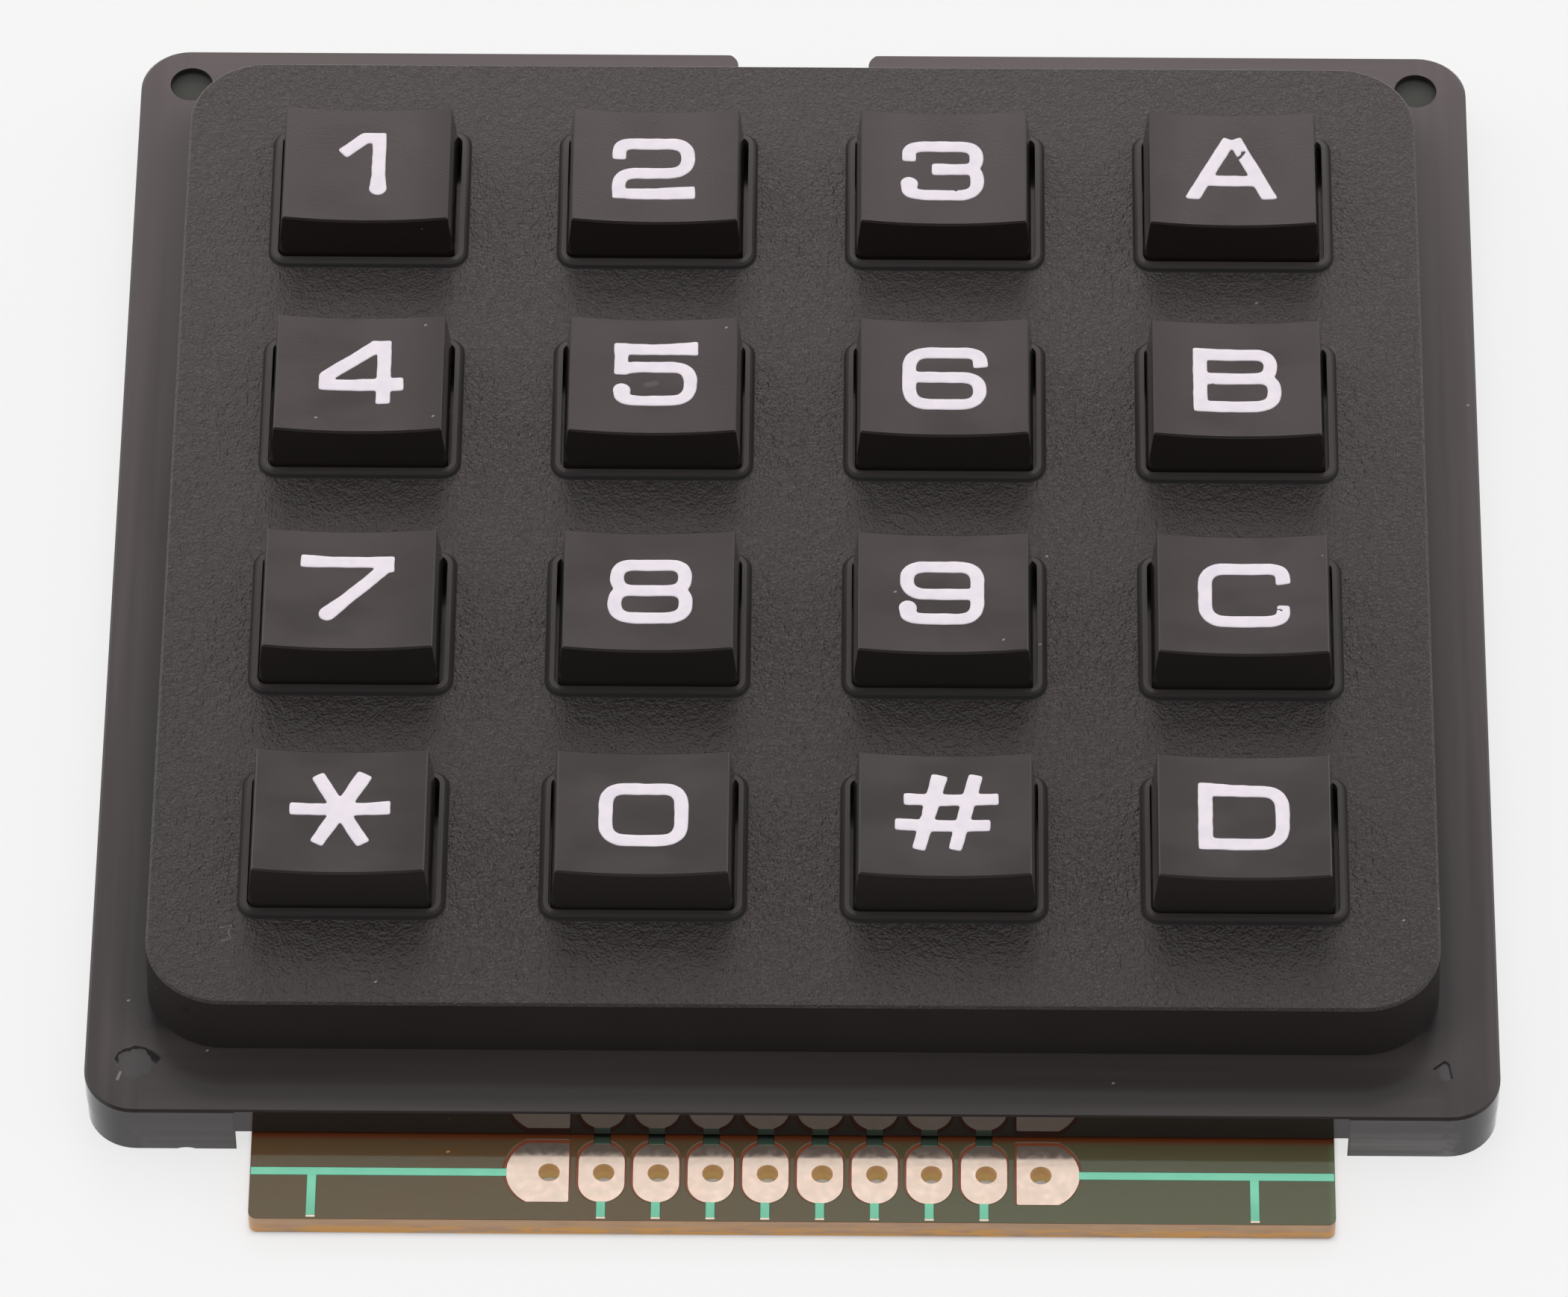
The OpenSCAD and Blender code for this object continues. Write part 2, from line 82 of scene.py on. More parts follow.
# %% Places and sizes, in metres
KEY_NAMES = ["1", "2", "3", "a", "4", "5", "6", "b", "7", "8", "9", "c", "star", "0", "hash", "d"]
KEYS_ACROSS = 4
KEY_TOP_WIDTH = 8.04 * MM
DISH_DEPTH = 0.28 * MM
DISH_RADIUS = ((KEY_TOP_WIDTH / 2) ** 2 + DISH_DEPTH ** 2) / (2 * DISH_DEPTH)


def centre(node):
    """The middle of a CAD node's box."""
    low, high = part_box(node)
    return np.array((low + high) / 2)


key_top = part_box("key_5")[1].z
board_low, board_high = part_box("board")
housing_low, housing_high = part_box("housing")
foil_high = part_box("copper_foil")[1]
board_top = board_high.z
tongue_front = board_low.y
wall_front = housing_low.y
print("key tops at", round(key_top / MM, 2), "mm; board's face at", round(board_top / MM, 2), "mm")

# %% [markdown]
# The camera stands where the photographer's stood. It was found by fitting a pinhole camera to the
# corners of the keypad: a long lens, 53 degrees above the table, almost square to the front edge.

# %% Camera
CAMERA_PLACE = (3.726 * MM, -322.095 * MM, 424.654 * MM)
CAMERA_AZIMUTH = math.radians(-0.785)
CAMERA_ELEVATION = math.radians(53.066)
CAMERA_ROLL = math.radians(-0.2785)
CAMERA_LENS = 252.58
CAMERA_SENSOR = 36
CAMERA_CLIP = 0.01

camera_data = bpy.data.cameras.new("camera")
camera_data.sensor_width = CAMERA_SENSOR
camera_data.lens = CAMERA_LENS
camera_data.clip_start = CAMERA_CLIP
camera = bpy.data.objects.new("camera", camera_data)
bpy.context.scene.collection.objects.link(camera)
ahead = np.array([math.sin(CAMERA_AZIMUTH) * math.cos(CAMERA_ELEVATION),
                  math.cos(CAMERA_AZIMUTH) * math.cos(CAMERA_ELEVATION),
                  -math.sin(CAMERA_ELEVATION)])
level = np.cross(ahead, [0, 0, 1])
level = level / np.linalg.norm(level)
right = level * math.cos(CAMERA_ROLL) + np.cross(level, ahead) * math.sin(CAMERA_ROLL)
turn = np.eye(4)
turn[:3, 0] = right
turn[:3, 1] = np.cross(right, ahead)
turn[:3, 2] = -ahead
turn[:3, 3] = CAMERA_PLACE
camera.matrix_world = Matrix(turn.tolist())
bpy.context.scene.camera = camera
print("camera looks along", ahead.round(3))

# %% [markdown]
# The keypad lay in a white tent. The tent is the world: white behind and above, greyer on the side
# where the camera stood, which is why the front walls look so black. A lit panel stands behind, up
# to the tent's seam, and the upright walls mirror it. A ring of lamps could do the same, but a
# world costs no objects, and its ramps read as plain angles. The angles are degrees above the
# table. The values from -1 to 1 are how far a direction points back or to the side.

# %% World
TENT_BACK = 0.7
TENT_SEAM = 0.3
TENT_OVER = 1.35
TENT_FRONT = 0.18
TENT_SIDES = 0.7
TENT_SEEN = 0.96
PANEL = 3.75
PANEL_COLOUR = (1.0, 0.84, 0.85, 1)
SEAM_LOW = 49.5
SEAM_HIGH = 55.3
SEAM_SOFT = 1.2
OVER_SOFT = 1
FRONT_LOW = 42
FRONT_HIGH = 56
FRONT_TO_BACK = (-0.55, 0.35)
SIDES_BRIGHTEN = (0.5, 0.85)
PANEL_LOW = 22
PANEL_SOFT = 5
PANEL_SIDE = 0.2
PANEL_SIDE_SOFT = 0.1
PANEL_BEGINS = (0, 0.2)

world = bpy.data.worlds.new("tent")
bpy.context.scene.world = world
world.use_nodes = True
sky = world.node_tree
sky.nodes.clear()


def slope(value, start, end, low, high):
    """Goes smoothly from low to high while the value goes from start to end."""
    node = sky.nodes.new("ShaderNodeMapRange")
    node.interpolation_type = "SMOOTHSTEP"
    for socket, number in (("From Min", start), ("From Max", end),
                           ("To Min", low), ("To Max", high)):
        if isinstance(number, bpy.types.NodeSocket):
            sky.links.new(number, node.inputs[socket])
        else:
            node.inputs[socket].default_value = number
    sky.links.new(value, node.inputs["Value"])
    return node.outputs[0]


def shader(kind, first, second):
    """Joins two world shaders."""
    node = sky.nodes.new(kind)
    sky.links.new(first, node.inputs[-2])
    sky.links.new(second, node.inputs[-1])
    return node


def sine(angle):
    """The upward part of a direction that many degrees above the table."""
    return math.sin(math.radians(angle))


def edge(angle, soft):
    """Where a soft edge at this angle starts and ends."""
    return sine(angle - soft), sine(angle + soft)


direction = sky.nodes.new("ShaderNodeTexCoord")
parts = sky.nodes.new("ShaderNodeSeparateXYZ")
sky.links.new(direction.outputs["Generated"], parts.inputs[0])
x, y, z = parts.outputs
side = sky.nodes.new("ShaderNodeMath")
side.operation = "ABSOLUTE"
sky.links.new(x, side.inputs[0])
back = slope(z, *edge(SEAM_LOW, SEAM_SOFT), TENT_BACK, TENT_SEAM)
back = slope(z, *edge(SEAM_HIGH, OVER_SOFT), back, TENT_OVER)
front = slope(z, sine(FRONT_LOW), sine(FRONT_HIGH), TENT_FRONT, TENT_OVER)
whole = sky.nodes.new("ShaderNodeMath")
sky.links.new(slope(y, *FRONT_TO_BACK, front, back), whole.inputs[0])
sky.links.new(slope(side.outputs[0], *SIDES_BRIGHTEN, 0, TENT_SIDES), whole.inputs[1])
tent = sky.nodes.new("ShaderNodeBackground")
sky.links.new(whole.outputs[0], tent.inputs["Strength"])
lit = slope(z, *edge(SEAM_LOW, SEAM_SOFT), PANEL, 0)
lit = slope(z, *edge(PANEL_LOW, PANEL_SOFT), 0, lit)
lit = slope(side.outputs[0], PANEL_SIDE - PANEL_SIDE_SOFT, PANEL_SIDE + PANEL_SIDE_SOFT, lit, 0)
lit = slope(y, *PANEL_BEGINS, 0, lit)
panel = sky.nodes.new("ShaderNodeBackground")
panel.inputs["Color"].default_value = PANEL_COLOUR
sky.links.new(lit, panel.inputs["Strength"])
light = shader("ShaderNodeAddShader", tent.outputs[0], panel.outputs[0])
seen = sky.nodes.new("ShaderNodeBackground")
seen.inputs["Color"].default_value = (TENT_SEEN, TENT_SEEN, TENT_SEEN, 1)
choose = shader("ShaderNodeMixShader", light.outputs[0], seen.outputs[0])
sky.links.new(sky.nodes.new("ShaderNodeLightPath").outputs["Is Camera Ray"], choose.inputs[0])
sky.links.new(choose.outputs[0], sky.nodes.new("ShaderNodeOutputWorld").inputs["Surface"])

bpy.context.scene.view_settings.view_transform = "Standard"
print("tent from", TENT_FRONT, "in front to", TENT_OVER, "overhead, with a panel of", PANEL)

# %% [markdown]
# A tent alone lights both sides alike. One wide, weak lamp behind on the left gives the shadows a
# side to fall to. It is an area lamp, because a point or a spot would give them hard edges.

# %% Side lamp
LAMP_POWER = 0.3
LAMP_WIDTH = 0.4
LAMP_HEIGHT = 0.3
LAMP_PLACE = (-0.5, 0.3, 0.35)

lamp_data = bpy.data.lights.new("softbox", "AREA")
lamp_data.shape = "RECTANGLE"
lamp_data.size = LAMP_WIDTH
lamp_data.size_y = LAMP_HEIGHT
lamp_data.energy = LAMP_POWER
lamp = bpy.data.objects.new("softbox", lamp_data)
lamp.location = LAMP_PLACE
lamp.rotation_euler = Vector(LAMP_PLACE).to_track_quat("Z", "Y").to_euler()
bpy.context.scene.collection.objects.link(lamp)
print("lamp stands", round(Vector(LAMP_PLACE).length, 2), "m from the keypad")

# %% [markdown]
# A finish is a node material. It could be wired node by node, which soon hides what it does. This
# small helper keeps the recipes readable: put() adds one node and feeds its sockets with plain
# numbers or with other nodes' outputs, and each pattern that comes back again is a method.

# %% Helper for materials


class Finish:
    """A node material being mixed, with the piece's own Object coordinates at hand."""

    def __init__(self, name):
        self.material = bpy.data.materials.new(name)
        self.material.use_nodes = True
        self.tree = self.material.node_tree
        self.shader = self.tree.nodes["Principled BSDF"]
        self.place = self.put("ShaderNodeTexCoord").outputs["Object"]
        spread = self.put("ShaderNodeSeparateXYZ", {0: self.place})
        self.x, self.y, self.z = spread.outputs

    def put(self, kind, inputs=None, **settings):
        """Adds a node, sets its properties and fills its sockets."""
        node = self.tree.nodes.new(kind)
        for key, value in settings.items():
            setattr(node, key, value)
        for socket, value in (inputs or {}).items():
            self.feed(node.inputs[socket], value)
        return node

    def feed(self, socket, value):
        """Links an output to the socket, or writes a number or colour into it."""
        if isinstance(value, bpy.types.NodeSocket):
            self.tree.links.new(value, socket)
        elif isinstance(value, (tuple, list)) and len(value) == 3 and socket.type == "RGBA":
            socket.default_value = (*value, 1)
        else:
            socket.default_value = value

    def math(self, operation, a, b=0.0):
        """One sum on two values."""
        return self.put("ShaderNodeMath", {0: a, 1: b}, operation=operation).outputs[0]

    def arrow(self, operation, a, b):
        """One sum on two vectors; gives the node, since some sums end in a number."""
        return self.put("ShaderNodeVectorMath", {0: a, 1: b}, operation=operation)

    def scaled(self, a, length):
        """Vector or colour a, times a number."""
        return self.put("ShaderNodeVectorMath", {0: a, "Scale": length},
                        operation="SCALE").outputs[0]

    def aside(self):
        """How far to the left or right of the middle a place lies."""
        return self.math("ABSOLUTE", self.x)

    def ramp(self, value, start, end, low=0.0, high=1.0, smooth=True):
        """Goes from low to high while the value goes from start to end, and stays there."""
        return self.put("ShaderNodeMapRange", {"Value": value, "From Min": start, "From Max": end,
                                               "To Min": low, "To Max": high},
                        interpolation_type="SMOOTHSTEP" if smooth else "LINEAR").outputs[0]

    def facing_up(self, start=0.3, end=0.8):
        """1 on level faces, 0 on upright ones."""
        normal = self.put("ShaderNodeNewGeometry").outputs["Normal"]
        return self.ramp(self.put("ShaderNodeSeparateXYZ", {0: normal}).outputs[2], start, end)

    def between(self, value, start, end, soft):
        """1 while the value lies between start and end, 0 outside, with soft edges."""
        rise = self.ramp(value, start - soft, start + soft)
        fall = self.ramp(value, end - soft, end + soft, 1.0, 0.0)
        return self.math("MULTIPLY", rise, fall)

    def stretch(self, sx, sy, sz):
        """The piece's coordinates, stretched for a pattern that runs one way."""
        return self.put("ShaderNodeMapping",
                        {"Vector": self.place, "Scale": (sx, sy, sz)}).outputs[0]

    def noise(self, size, detail=2.0, vector=None, distortion=0.0, rough=0.5):
        """Soft cloud pattern whose lumps are about `size` metres across."""
        return self.put("ShaderNodeTexNoise",
                        {"Vector": vector or self.place, "Scale": 1 / size, "Detail": detail,
                         "Distortion": distortion, "Roughness": rough}).outputs["Fac"]

    def specks(self, spacing, radius, share):
        """1 on small round specks, one in some cells of a loose grid, 0 elsewhere."""
        cells = self.put("ShaderNodeTexVoronoi", {"Vector": self.place, "Scale": 1 / spacing})
        reach = radius / spacing
        dot = self.ramp(cells.outputs["Distance"], reach * 0.6, reach, 1.0, 0.0)
        pick = self.put("ShaderNodeSeparateColor", {0: cells.outputs["Color"]}).outputs[0]
        return self.math("MULTIPLY", dot, self.math("LESS_THAN", pick, share))

    def off_line(self, a, b):
        """Distance in plan, in metres, from the line between two places given in millimetres."""
        start, run = Vector((*a, 0)) * MM, (Vector((*b, 0)) - Vector((*a, 0))) * MM
        place = self.arrow("MULTIPLY", self.place, (1, 1, 0)).outputs[0]
        away = self.arrow("SUBTRACT", place, start).outputs[0]
        share = self.arrow("DOT_PRODUCT", away, run / run.length_squared).outputs["Value"]
        along = self.scaled(run, self.ramp(share, 0, 1, smooth=False))
        return self.arrow("DISTANCE", away, along).outputs["Value"]

    def mark(self, width, *corners):
        """1 on a thin chain of lines through places in millimetres, in plan, 0 elsewhere."""
        away, *others = [self.off_line(a, b) for a, b in zip(corners, corners[1:])]
        for other in others:
            away = self.math("MINIMUM", away, other)
        return self.ramp(away, width / 4, width * 0.75, 1.0, 0.0)

    def blend(self, factor, a, b):
        """Number a where the factor is 0, number b where it is 1."""
        return self.put("ShaderNodeMix", {0: factor, 2: a, 3: b}).outputs[0]

    def mix(self, factor, a, b):
        """Colour a where the factor is 0, colour b where it is 1."""
        node = self.put("ShaderNodeMix", data_type="RGBA")
        self.feed(node.inputs[0], factor)
        self.feed(node.inputs[6], a)
        self.feed(node.inputs[7], b)
        return node.outputs[2]

    def bump(self, height, depth):
        """Dents the surface's shading by height times depth metres."""
        return self.put("ShaderNodeBump", {"Height": height, "Distance": depth}).outputs[0]

    def finish(self, **sockets):
        """Fills the main shader's sockets and gives the material back."""
        for socket, value in sockets.items():
            self.feed(self.shader.inputs[socket.replace("_", " ")], value)
        return self.material


def paint(node, material):
    """Gives a CAD node this material in all its slots."""
    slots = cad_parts[node].material_slots
    for slot in slots:
        slot.material = material
    print(node, "is finished in", material.name)


# %% [markdown]
# The housing comes out of one mould with three finishes. The raised field was eroded by sparks, so
# it has a fine leathery grain. The flange is satin from plain polishing, and the upright walls are
# glossy, because the mould steel was drawn along them. Each group of faces could get a material of
# its own, but a place's height and slope tell the three apart, so one material with masks does it.

# %% Housing sizes and blacks
FIELD_TOP = 6.6 * MM
FLANGE_TOP = 3.1 * MM
FIELD_SIDE = 30.3 * MM
FIELD_END = 28.55 * MM
FIELD_MIDDLE = -0.2 * MM
FIELD_CORNER = 3.8 * MM
FLANGE_FADE = 2.6 * MM
SLOT_SIDE = 26 * MM
GRAIN = 0.42 * MM
GRAIN_DEPTH = 0.16 * MM
STREAK = 0.7 * MM
BLACK = (0.0285, 0.0228, 0.0223)
WORN_BLACK = (0.0310, 0.0250, 0.0245)
FIELD_BLACK = (0.0255, 0.0188, 0.0184)
FIELD_REAR_PAINTED_LIGHT = (0.0480, 0.0400, 0.0390)
FOOT_PAINTED_SHADE = (0.011, 0.009, 0.009)
FLANGE_BLACK = (0.0400, 0.0320, 0.0312)
SLOT_PAINTED_REFLECTION = (0.019, 0.010, 0.009)
CORNER_PAINTED_SHADE = (0.011, 0.012, 0.012)
SKIRT_REFLECTION_GREY = (0.165, 0.150, 0.150)
PLASTIC_IOR = 1.5
FIELD_ROUGH = 0.38
COLLAR_ROUGH = 0.5
FOOT_ROUGH = 0.8
FLANGE_ROUGH = 0.13
SLOT_ROUGH = 0.05
print("flange is", round((housing_high.x - FIELD_SIDE) / MM, 2), "mm wide beside the field")

# %% [markdown]
# Each zone is a mask: a number that is 1 inside it and 0 outside, worked out from the height, the
# place and the slope. The grain and the streaks are noise, stretched the way the tools left them.
# An image could hold both, but noise stays sharp from close by and needs no layout.

# %% Housing zones


def surfaces(f):
    """Where the moulding is field, collar, foot of a collar or flange: 1 there, 0 elsewhere."""
    field = f.between(f.z, FIELD_TOP - 0.13 * MM, FIELD_TOP + 0.03 * MM, 0.02 * MM)
    collar = f.ramp(f.z, FIELD_TOP + 0.02 * MM, FIELD_TOP + 0.06 * MM)
    foot = f.between(f.z, FIELD_TOP + 0.02 * MM, FIELD_TOP + 0.16 * MM, 0.02 * MM)
    flange = f.math("MULTIPLY", f.ramp(f.z, FIELD_TOP - 0.4 * MM, FIELD_TOP - 0.2 * MM, 1.0, 0.0),
                    f.facing_up())
    return field, collar, foot, flange


def slot_wall(f):
    """1 below the flange in front, where the tongue comes out, and 0 elsewhere."""
    width = f.ramp(f.aside(), SLOT_SIDE - 0.1 * MM, SLOT_SIDE + 0.1 * MM, 1.0, 0.0)
    height = f.ramp(f.z, FLANGE_TOP - 0.1 * MM, FLANGE_TOP, 1.0, 0.0)
    front = f.ramp(f.y, -25 * MM, -20 * MM, 1.0, 0.0)
    return f.math("MULTIPLY", f.math("MULTIPLY", width, height), front)


def off_wall(f):
    """How far a place on the flange lies from the field's wall, and 1 where that wall is at its
    side, 0 where it is in front or behind: the distance from a rounded rectangle, in plan."""
    over_x = f.math("MAXIMUM", f.math("SUBTRACT", f.aside(), FIELD_SIDE - FIELD_CORNER), 0)
    over_y = f.math("ABSOLUTE", f.math("SUBTRACT", f.y, FIELD_MIDDLE))
    over_y = f.math("MAXIMUM", f.math("SUBTRACT", over_y, FIELD_END - FIELD_CORNER), 0)
    square = f.math("ADD", f.math("MULTIPLY", over_x, over_x), f.math("MULTIPLY", over_y, over_y))
    beside = f.ramp(f.math("SUBTRACT", over_x, over_y), -2.5 * MM, 2.5 * MM)
    return f.math("SUBTRACT", f.math("SQRT", square), FIELD_CORNER), beside


def grain_height(f):
    """The spark-eroded skin: coarse lumps with fine ones on them."""
    coarse = f.noise(GRAIN, 2.0, f.stretch(1.2, 0.9, 1), 0.3, 0.5)
    fine = f.noise(GRAIN * 0.35, 2.0, f.stretch(1.1, 0.95, 1))
    return f.math("ADD", f.math("MULTIPLY", coarse, 0.7), f.math("MULTIPLY", fine, 0.6))


def streaks(f):
    """Fine lines along the nearest wall, as the mould's polishing left them."""
    sideways = f.ramp(f.aside(), FIELD_SIDE - 0.3 * MM, FIELD_SIDE + 0.3 * MM)
    along_y = f.noise(STREAK, 3.0, f.stretch(1, 0.03, 1))
    along_x = f.noise(STREAK, 3.0, f.stretch(0.03, 1, 1))
    return f.blend(sideways, along_x, along_y)


# %% [markdown]
# Thin webs of plastic close the four corner holes. The two at the rear lie deeper and look a
# greenish grey. The front ones are level with the flange: the left one has torn along its edge,
# and the right one has only cracked. The webs are in the CAD mesh. Their tears are finer than a
# mesh should be, so they are chains of short lines, painted by the distance from them.

# %% Corner holes
HOLE_X = 30.5
HOLE_Y = 29.75
HOLE_RADIUS = 1.05
WEB_GREY = (0.072, 0.074, 0.067)
WEB_SKIN = (0.042, 0.045, 0.043)
TORN_BLACK = (0.003, 0.003, 0.003)
CRACK_PAINTED_GLINT = (0.075, 0.08, 0.08)
NICK_PALE = (0.35, 0.35, 0.34)
TEAR = [(-29.95, -29.05), (-29.6, -29.35)]
CRACK = [(29.93, -29.5), (30.42, -29.1), (30.6, -29.25), (30.72, -30.0)]
CRACK_GLINT_LINE = [(30.42, -29.55), (30.45, -29.9)]
NICK = [(-31.42, -30.55), (-31.3, -30.15)]


def near_point(f, x, y):
    """Distance in plan from a place given in millimetres."""
    return f.off_line((x, y), (x + 0.01, y))


def rear_webs(f):
    """1 on the two deep webs, 0 elsewhere: a disc round each hole, between two heights."""
    depth = f.ramp(f.z, FLANGE_TOP - 0.4 * MM, FLANGE_TOP - 0.3 * MM, 1.0, 0.0)
    above = f.ramp(f.z, 2.0 * MM, 2.1 * MM)
    webs = 0.0
    for x in (-HOLE_X, HOLE_X):
        disc = f.ramp(near_point(f, x, HOLE_Y), (HOLE_RADIUS + 0.02) * MM,
                      (HOLE_RADIUS + 0.05) * MM, 1.0, 0.0)
        webs = f.math("ADD", webs, f.math("MULTIPLY", f.math("MULTIPLY", depth, above), disc))
    return webs


def hole_webs(f, colour):
    """Colours the webs, their tears and a painted glint by the crack; the second value is 1 where
    they are dull.
    """
    dull = rear_webs(f)
    colour = f.mix(dull, colour, WEB_GREY)
    rim = f.math("ADD", near_point(f, -HOLE_X - 0.12, -HOLE_Y + 0.1),
                 f.math("MULTIPLY", f.noise(0.4 * MM, 3.0), 0.5 * MM))
    inside = f.ramp(rim, 0.9 * MM, 1.1 * MM, 1.0, 0.0)
    colour = f.mix(f.math("MULTIPLY", inside, 0.8), colour, WEB_SKIN)
    torn = f.between(rim, 1.09 * MM, 1.24 * MM, 0.02 * MM)
    torn = f.math("MULTIPLY", torn, f.ramp(f.y, (-HOLE_Y - 0.1) * MM, (-HOLE_Y + 0.3) * MM))
    for gone in (torn, f.mark(0.32 * MM, *TEAR), f.mark(0.14 * MM, *CRACK)):
        colour = f.mix(f.math("MULTIPLY", gone, 0.9), colour, TORN_BLACK)
        dull = f.math("MAXIMUM", dull, gone)
    # Painted highlight: a pale glint along one side of the crack.
    colour = f.mix(f.math("MULTIPLY", f.mark(0.5 * MM, *CRACK_GLINT_LINE), 0.5), colour, CRACK_PAINTED_GLINT)
    return f.mix(f.math("MULTIPLY", f.mark(0.12 * MM, *NICK), 0.5), colour, NICK_PALE), dull


# %% [markdown]
# The flange's upright edge gets a painted reflection of the white table, palest low down, and
# single grains of dust lie about. Painting them on an image would need a layout of the whole
# moulding, while a ramp and a short list of places need none.

# %% Painted reflection and dust
DUST_GREY = (0.3, 0.29, 0.28)
SQUIGGLE_GREY = (0.16, 0.15, 0.15)
DUST = [(22.22, 13.35), (11.94, -2.24), (11.59, -7.74), (28.49, -23.52), (-19.38, -27.39),
        (32.57, 9.85), (30.17, -22.77), (-31.11, -26.08), (14.96, -30.43), (-27.3, -28.91)]
SQUIGGLE = [(-26.75, -24.35), (-26.2, -24.2), (-26.35, -24.6), (-26.2, -24.95), (-26.65, -25.1)]


def painted_table_reflection(f):
    """Painted reflection of the table on the flange's upright edge: low down, more to the right,
    less round its corners.
    """
    below = f.ramp(f.z, FLANGE_TOP - 0.2 * MM, FLANGE_TOP - 0.1 * MM, 1.0, 0.0)
    low = f.math("MULTIPLY", f.ramp(f.z, 0.3 * MM, 2.6 * MM, 1.0, 0.2), below)
    right = f.ramp(f.x, -26 * MM, 26 * MM, 0.3, 1.0)
    front = f.ramp(f.y, -32.2 * MM, -31.7 * MM, 1.0, 0.1)
    return f.math("MULTIPLY", low, f.math("MULTIPLY", right, front))


def dust(f, colour, places, tone=DUST_GREY, size=0.08):
    """Small pale specks at these places in millimetres, on level faces only."""
    level = f.facing_up()
    for x, y in places:
        speck = f.mark(size * MM, (x - 0.03, y), (x + 0.03, y + 0.03))
        colour = f.mix(f.math("MULTIPLY", speck, level), colour, tone)
    return colour


# %% [markdown]
# The finish lays the zones over each other like paint through stencils: the walls first, then the
# field, the collars and the flange, and at last the webs, the dust and a scribble in the corner.
# Several of these colours are painted light and shade, and each says so where it is laid.

# %% Housing finish


def flange_black_with_painted_light(f, streak):
    """Streaked black with painted light and shade. Beside the field it pales from the wall to the
    rim.
    In front and behind it is palest at the wall, and the rim at the rear is painted paler than in
    front."""
    outward, beside = off_wall(f)
    # Painted light and shade: these ramps set how pale the flange is by the wall and at the rim.
    by_wall = f.ramp(beside, 0, 1, 1.3, 0.15)
    at_rim = f.ramp(beside, 0, 1, f.ramp(f.y, -28 * MM, 28 * MM, 0.8, 1.45), 1.1)
    pale = f.math("MULTIPLY", f.ramp(outward, 0, FLANGE_FADE, by_wall, at_rim),
                  f.ramp(streak, 0.3, 0.7, 0.9, 1.08))
    return f.scaled(FLANGE_BLACK, pale)


def wall_colour(f, streak, slot):
    """Cloudy black, with painted reflections: of the table, pale low on the skirt, and of the
    board, darker and redder in the slot. Painted shade darkens the two front corners.
    """
    colour = f.mix(f.ramp(f.noise(5 * MM), 0.35, 0.65), BLACK, WORN_BLACK)
    # Painted reflection: the skirt is painted pale grey low down, along the streaks, as the white
    # table would show in it.
    skirt_reflection_share = f.math("MULTIPLY", painted_table_reflection(f), f.ramp(streak, 0.35, 0.65, 0.3, 1.0))
    # Painted reflection: the slot wall is painted darker and redder, as the brown board below would
    # show in it.
    colour = f.mix(slot, f.mix(skirt_reflection_share, colour, SKIRT_REFLECTION_GREY), SLOT_PAINTED_REFLECTION)
    # Painted shade: the two rounded front corners of the skirt are painted darker.
    corner = f.math("MULTIPLY", f.ramp(f.aside(), 30.5 * MM, 31.5 * MM),
                    f.ramp(f.y, -31 * MM, -29 * MM, 1.0, 0.0))
    return f.mix(corner, colour, CORNER_PAINTED_SHADE)


def housing_finish():
    """The zones' colours and roughnesses laid over each other, then webs, dust and the grain."""
    f = Finish("moulded_black")
    field, collar, foot, flange = surfaces(f)
    streak = streaks(f)
    slot = slot_wall(f)
    rough = f.math("ADD", f.ramp(streak, 0.3, 0.7, 0.07, 0.12),
                   f.math("MULTIPLY", f.facing_up(), FLANGE_ROUGH))
    for zone, value in ((slot, SLOT_ROUGH), (field, FIELD_ROUGH), (collar, COLLAR_ROUGH),
                        (foot, FOOT_ROUGH)):
        rough = f.blend(zone, rough, value)
    # Painted light: the field and the collars are painted paler towards the rear, where more light
    # falls from behind.
    skin = f.mix(f.ramp(f.y, -18 * MM, 30 * MM), FIELD_BLACK, FIELD_REAR_PAINTED_LIGHT)
    colour = f.mix(f.math("MAXIMUM", field, collar), wall_colour(f, streak, slot), skin)
    # Painted shade: the foot of each collar, where it meets the field, is painted darker.
    colour = f.mix(foot, colour, FOOT_PAINTED_SHADE)
    colour = f.mix(flange, colour, flange_black_with_painted_light(f, streak))
    colour = f.mix(f.specks(2.6 * MM, 0.055 * MM, 0.05), colour, DUST_GREY)
    colour, dull = hole_webs(f, colour)
    colour = dust(f, colour, DUST)
    colour = f.mix(f.math("MULTIPLY", f.mark(0.05 * MM, *SQUIGGLE), 0.6), colour, SQUIGGLE_GREY)
    grain = f.bump(f.math("MULTIPLY", grain_height(f), field), GRAIN_DEPTH)
    return f.finish(Base_Color=colour, Roughness=f.blend(dull, rough, 0.9), IOR=PLASTIC_IOR,
                    Normal=grain)


paint("housing", housing_finish())

# %% [markdown]
# The keycaps are the same black plastic from another mould, polished to an even satin. They could
# share the housing's material, but its masks go by height and would cut across them. Their black
# gets a little paler towards the front, because with one black for all of them the tent would
# leave the front row darker than the real one.

# %% Keycaps
KEY_FRONT_BLACK = (0.0345, 0.0282, 0.0277)
KEY_REAR_BLACK = (0.0200, 0.0142, 0.0138)
KEY_SPECK = (0.25, 0.24, 0.23)
SMUDGE_GREY = (0.10, 0.09, 0.09)
KEY_ROUGH = 0.17
KEY_SIDE_ROUGH = 0.12
KEY_DUST = [(-23.16, 3.82), (-17.53, 3.82), (-18.05, 9.45), (9.82, -9.34), (4.69, -6.5),
            (-3.52, 9.37)]
SMUDGE = [(-7.3, 6.0), (-6.9, 6.1)]


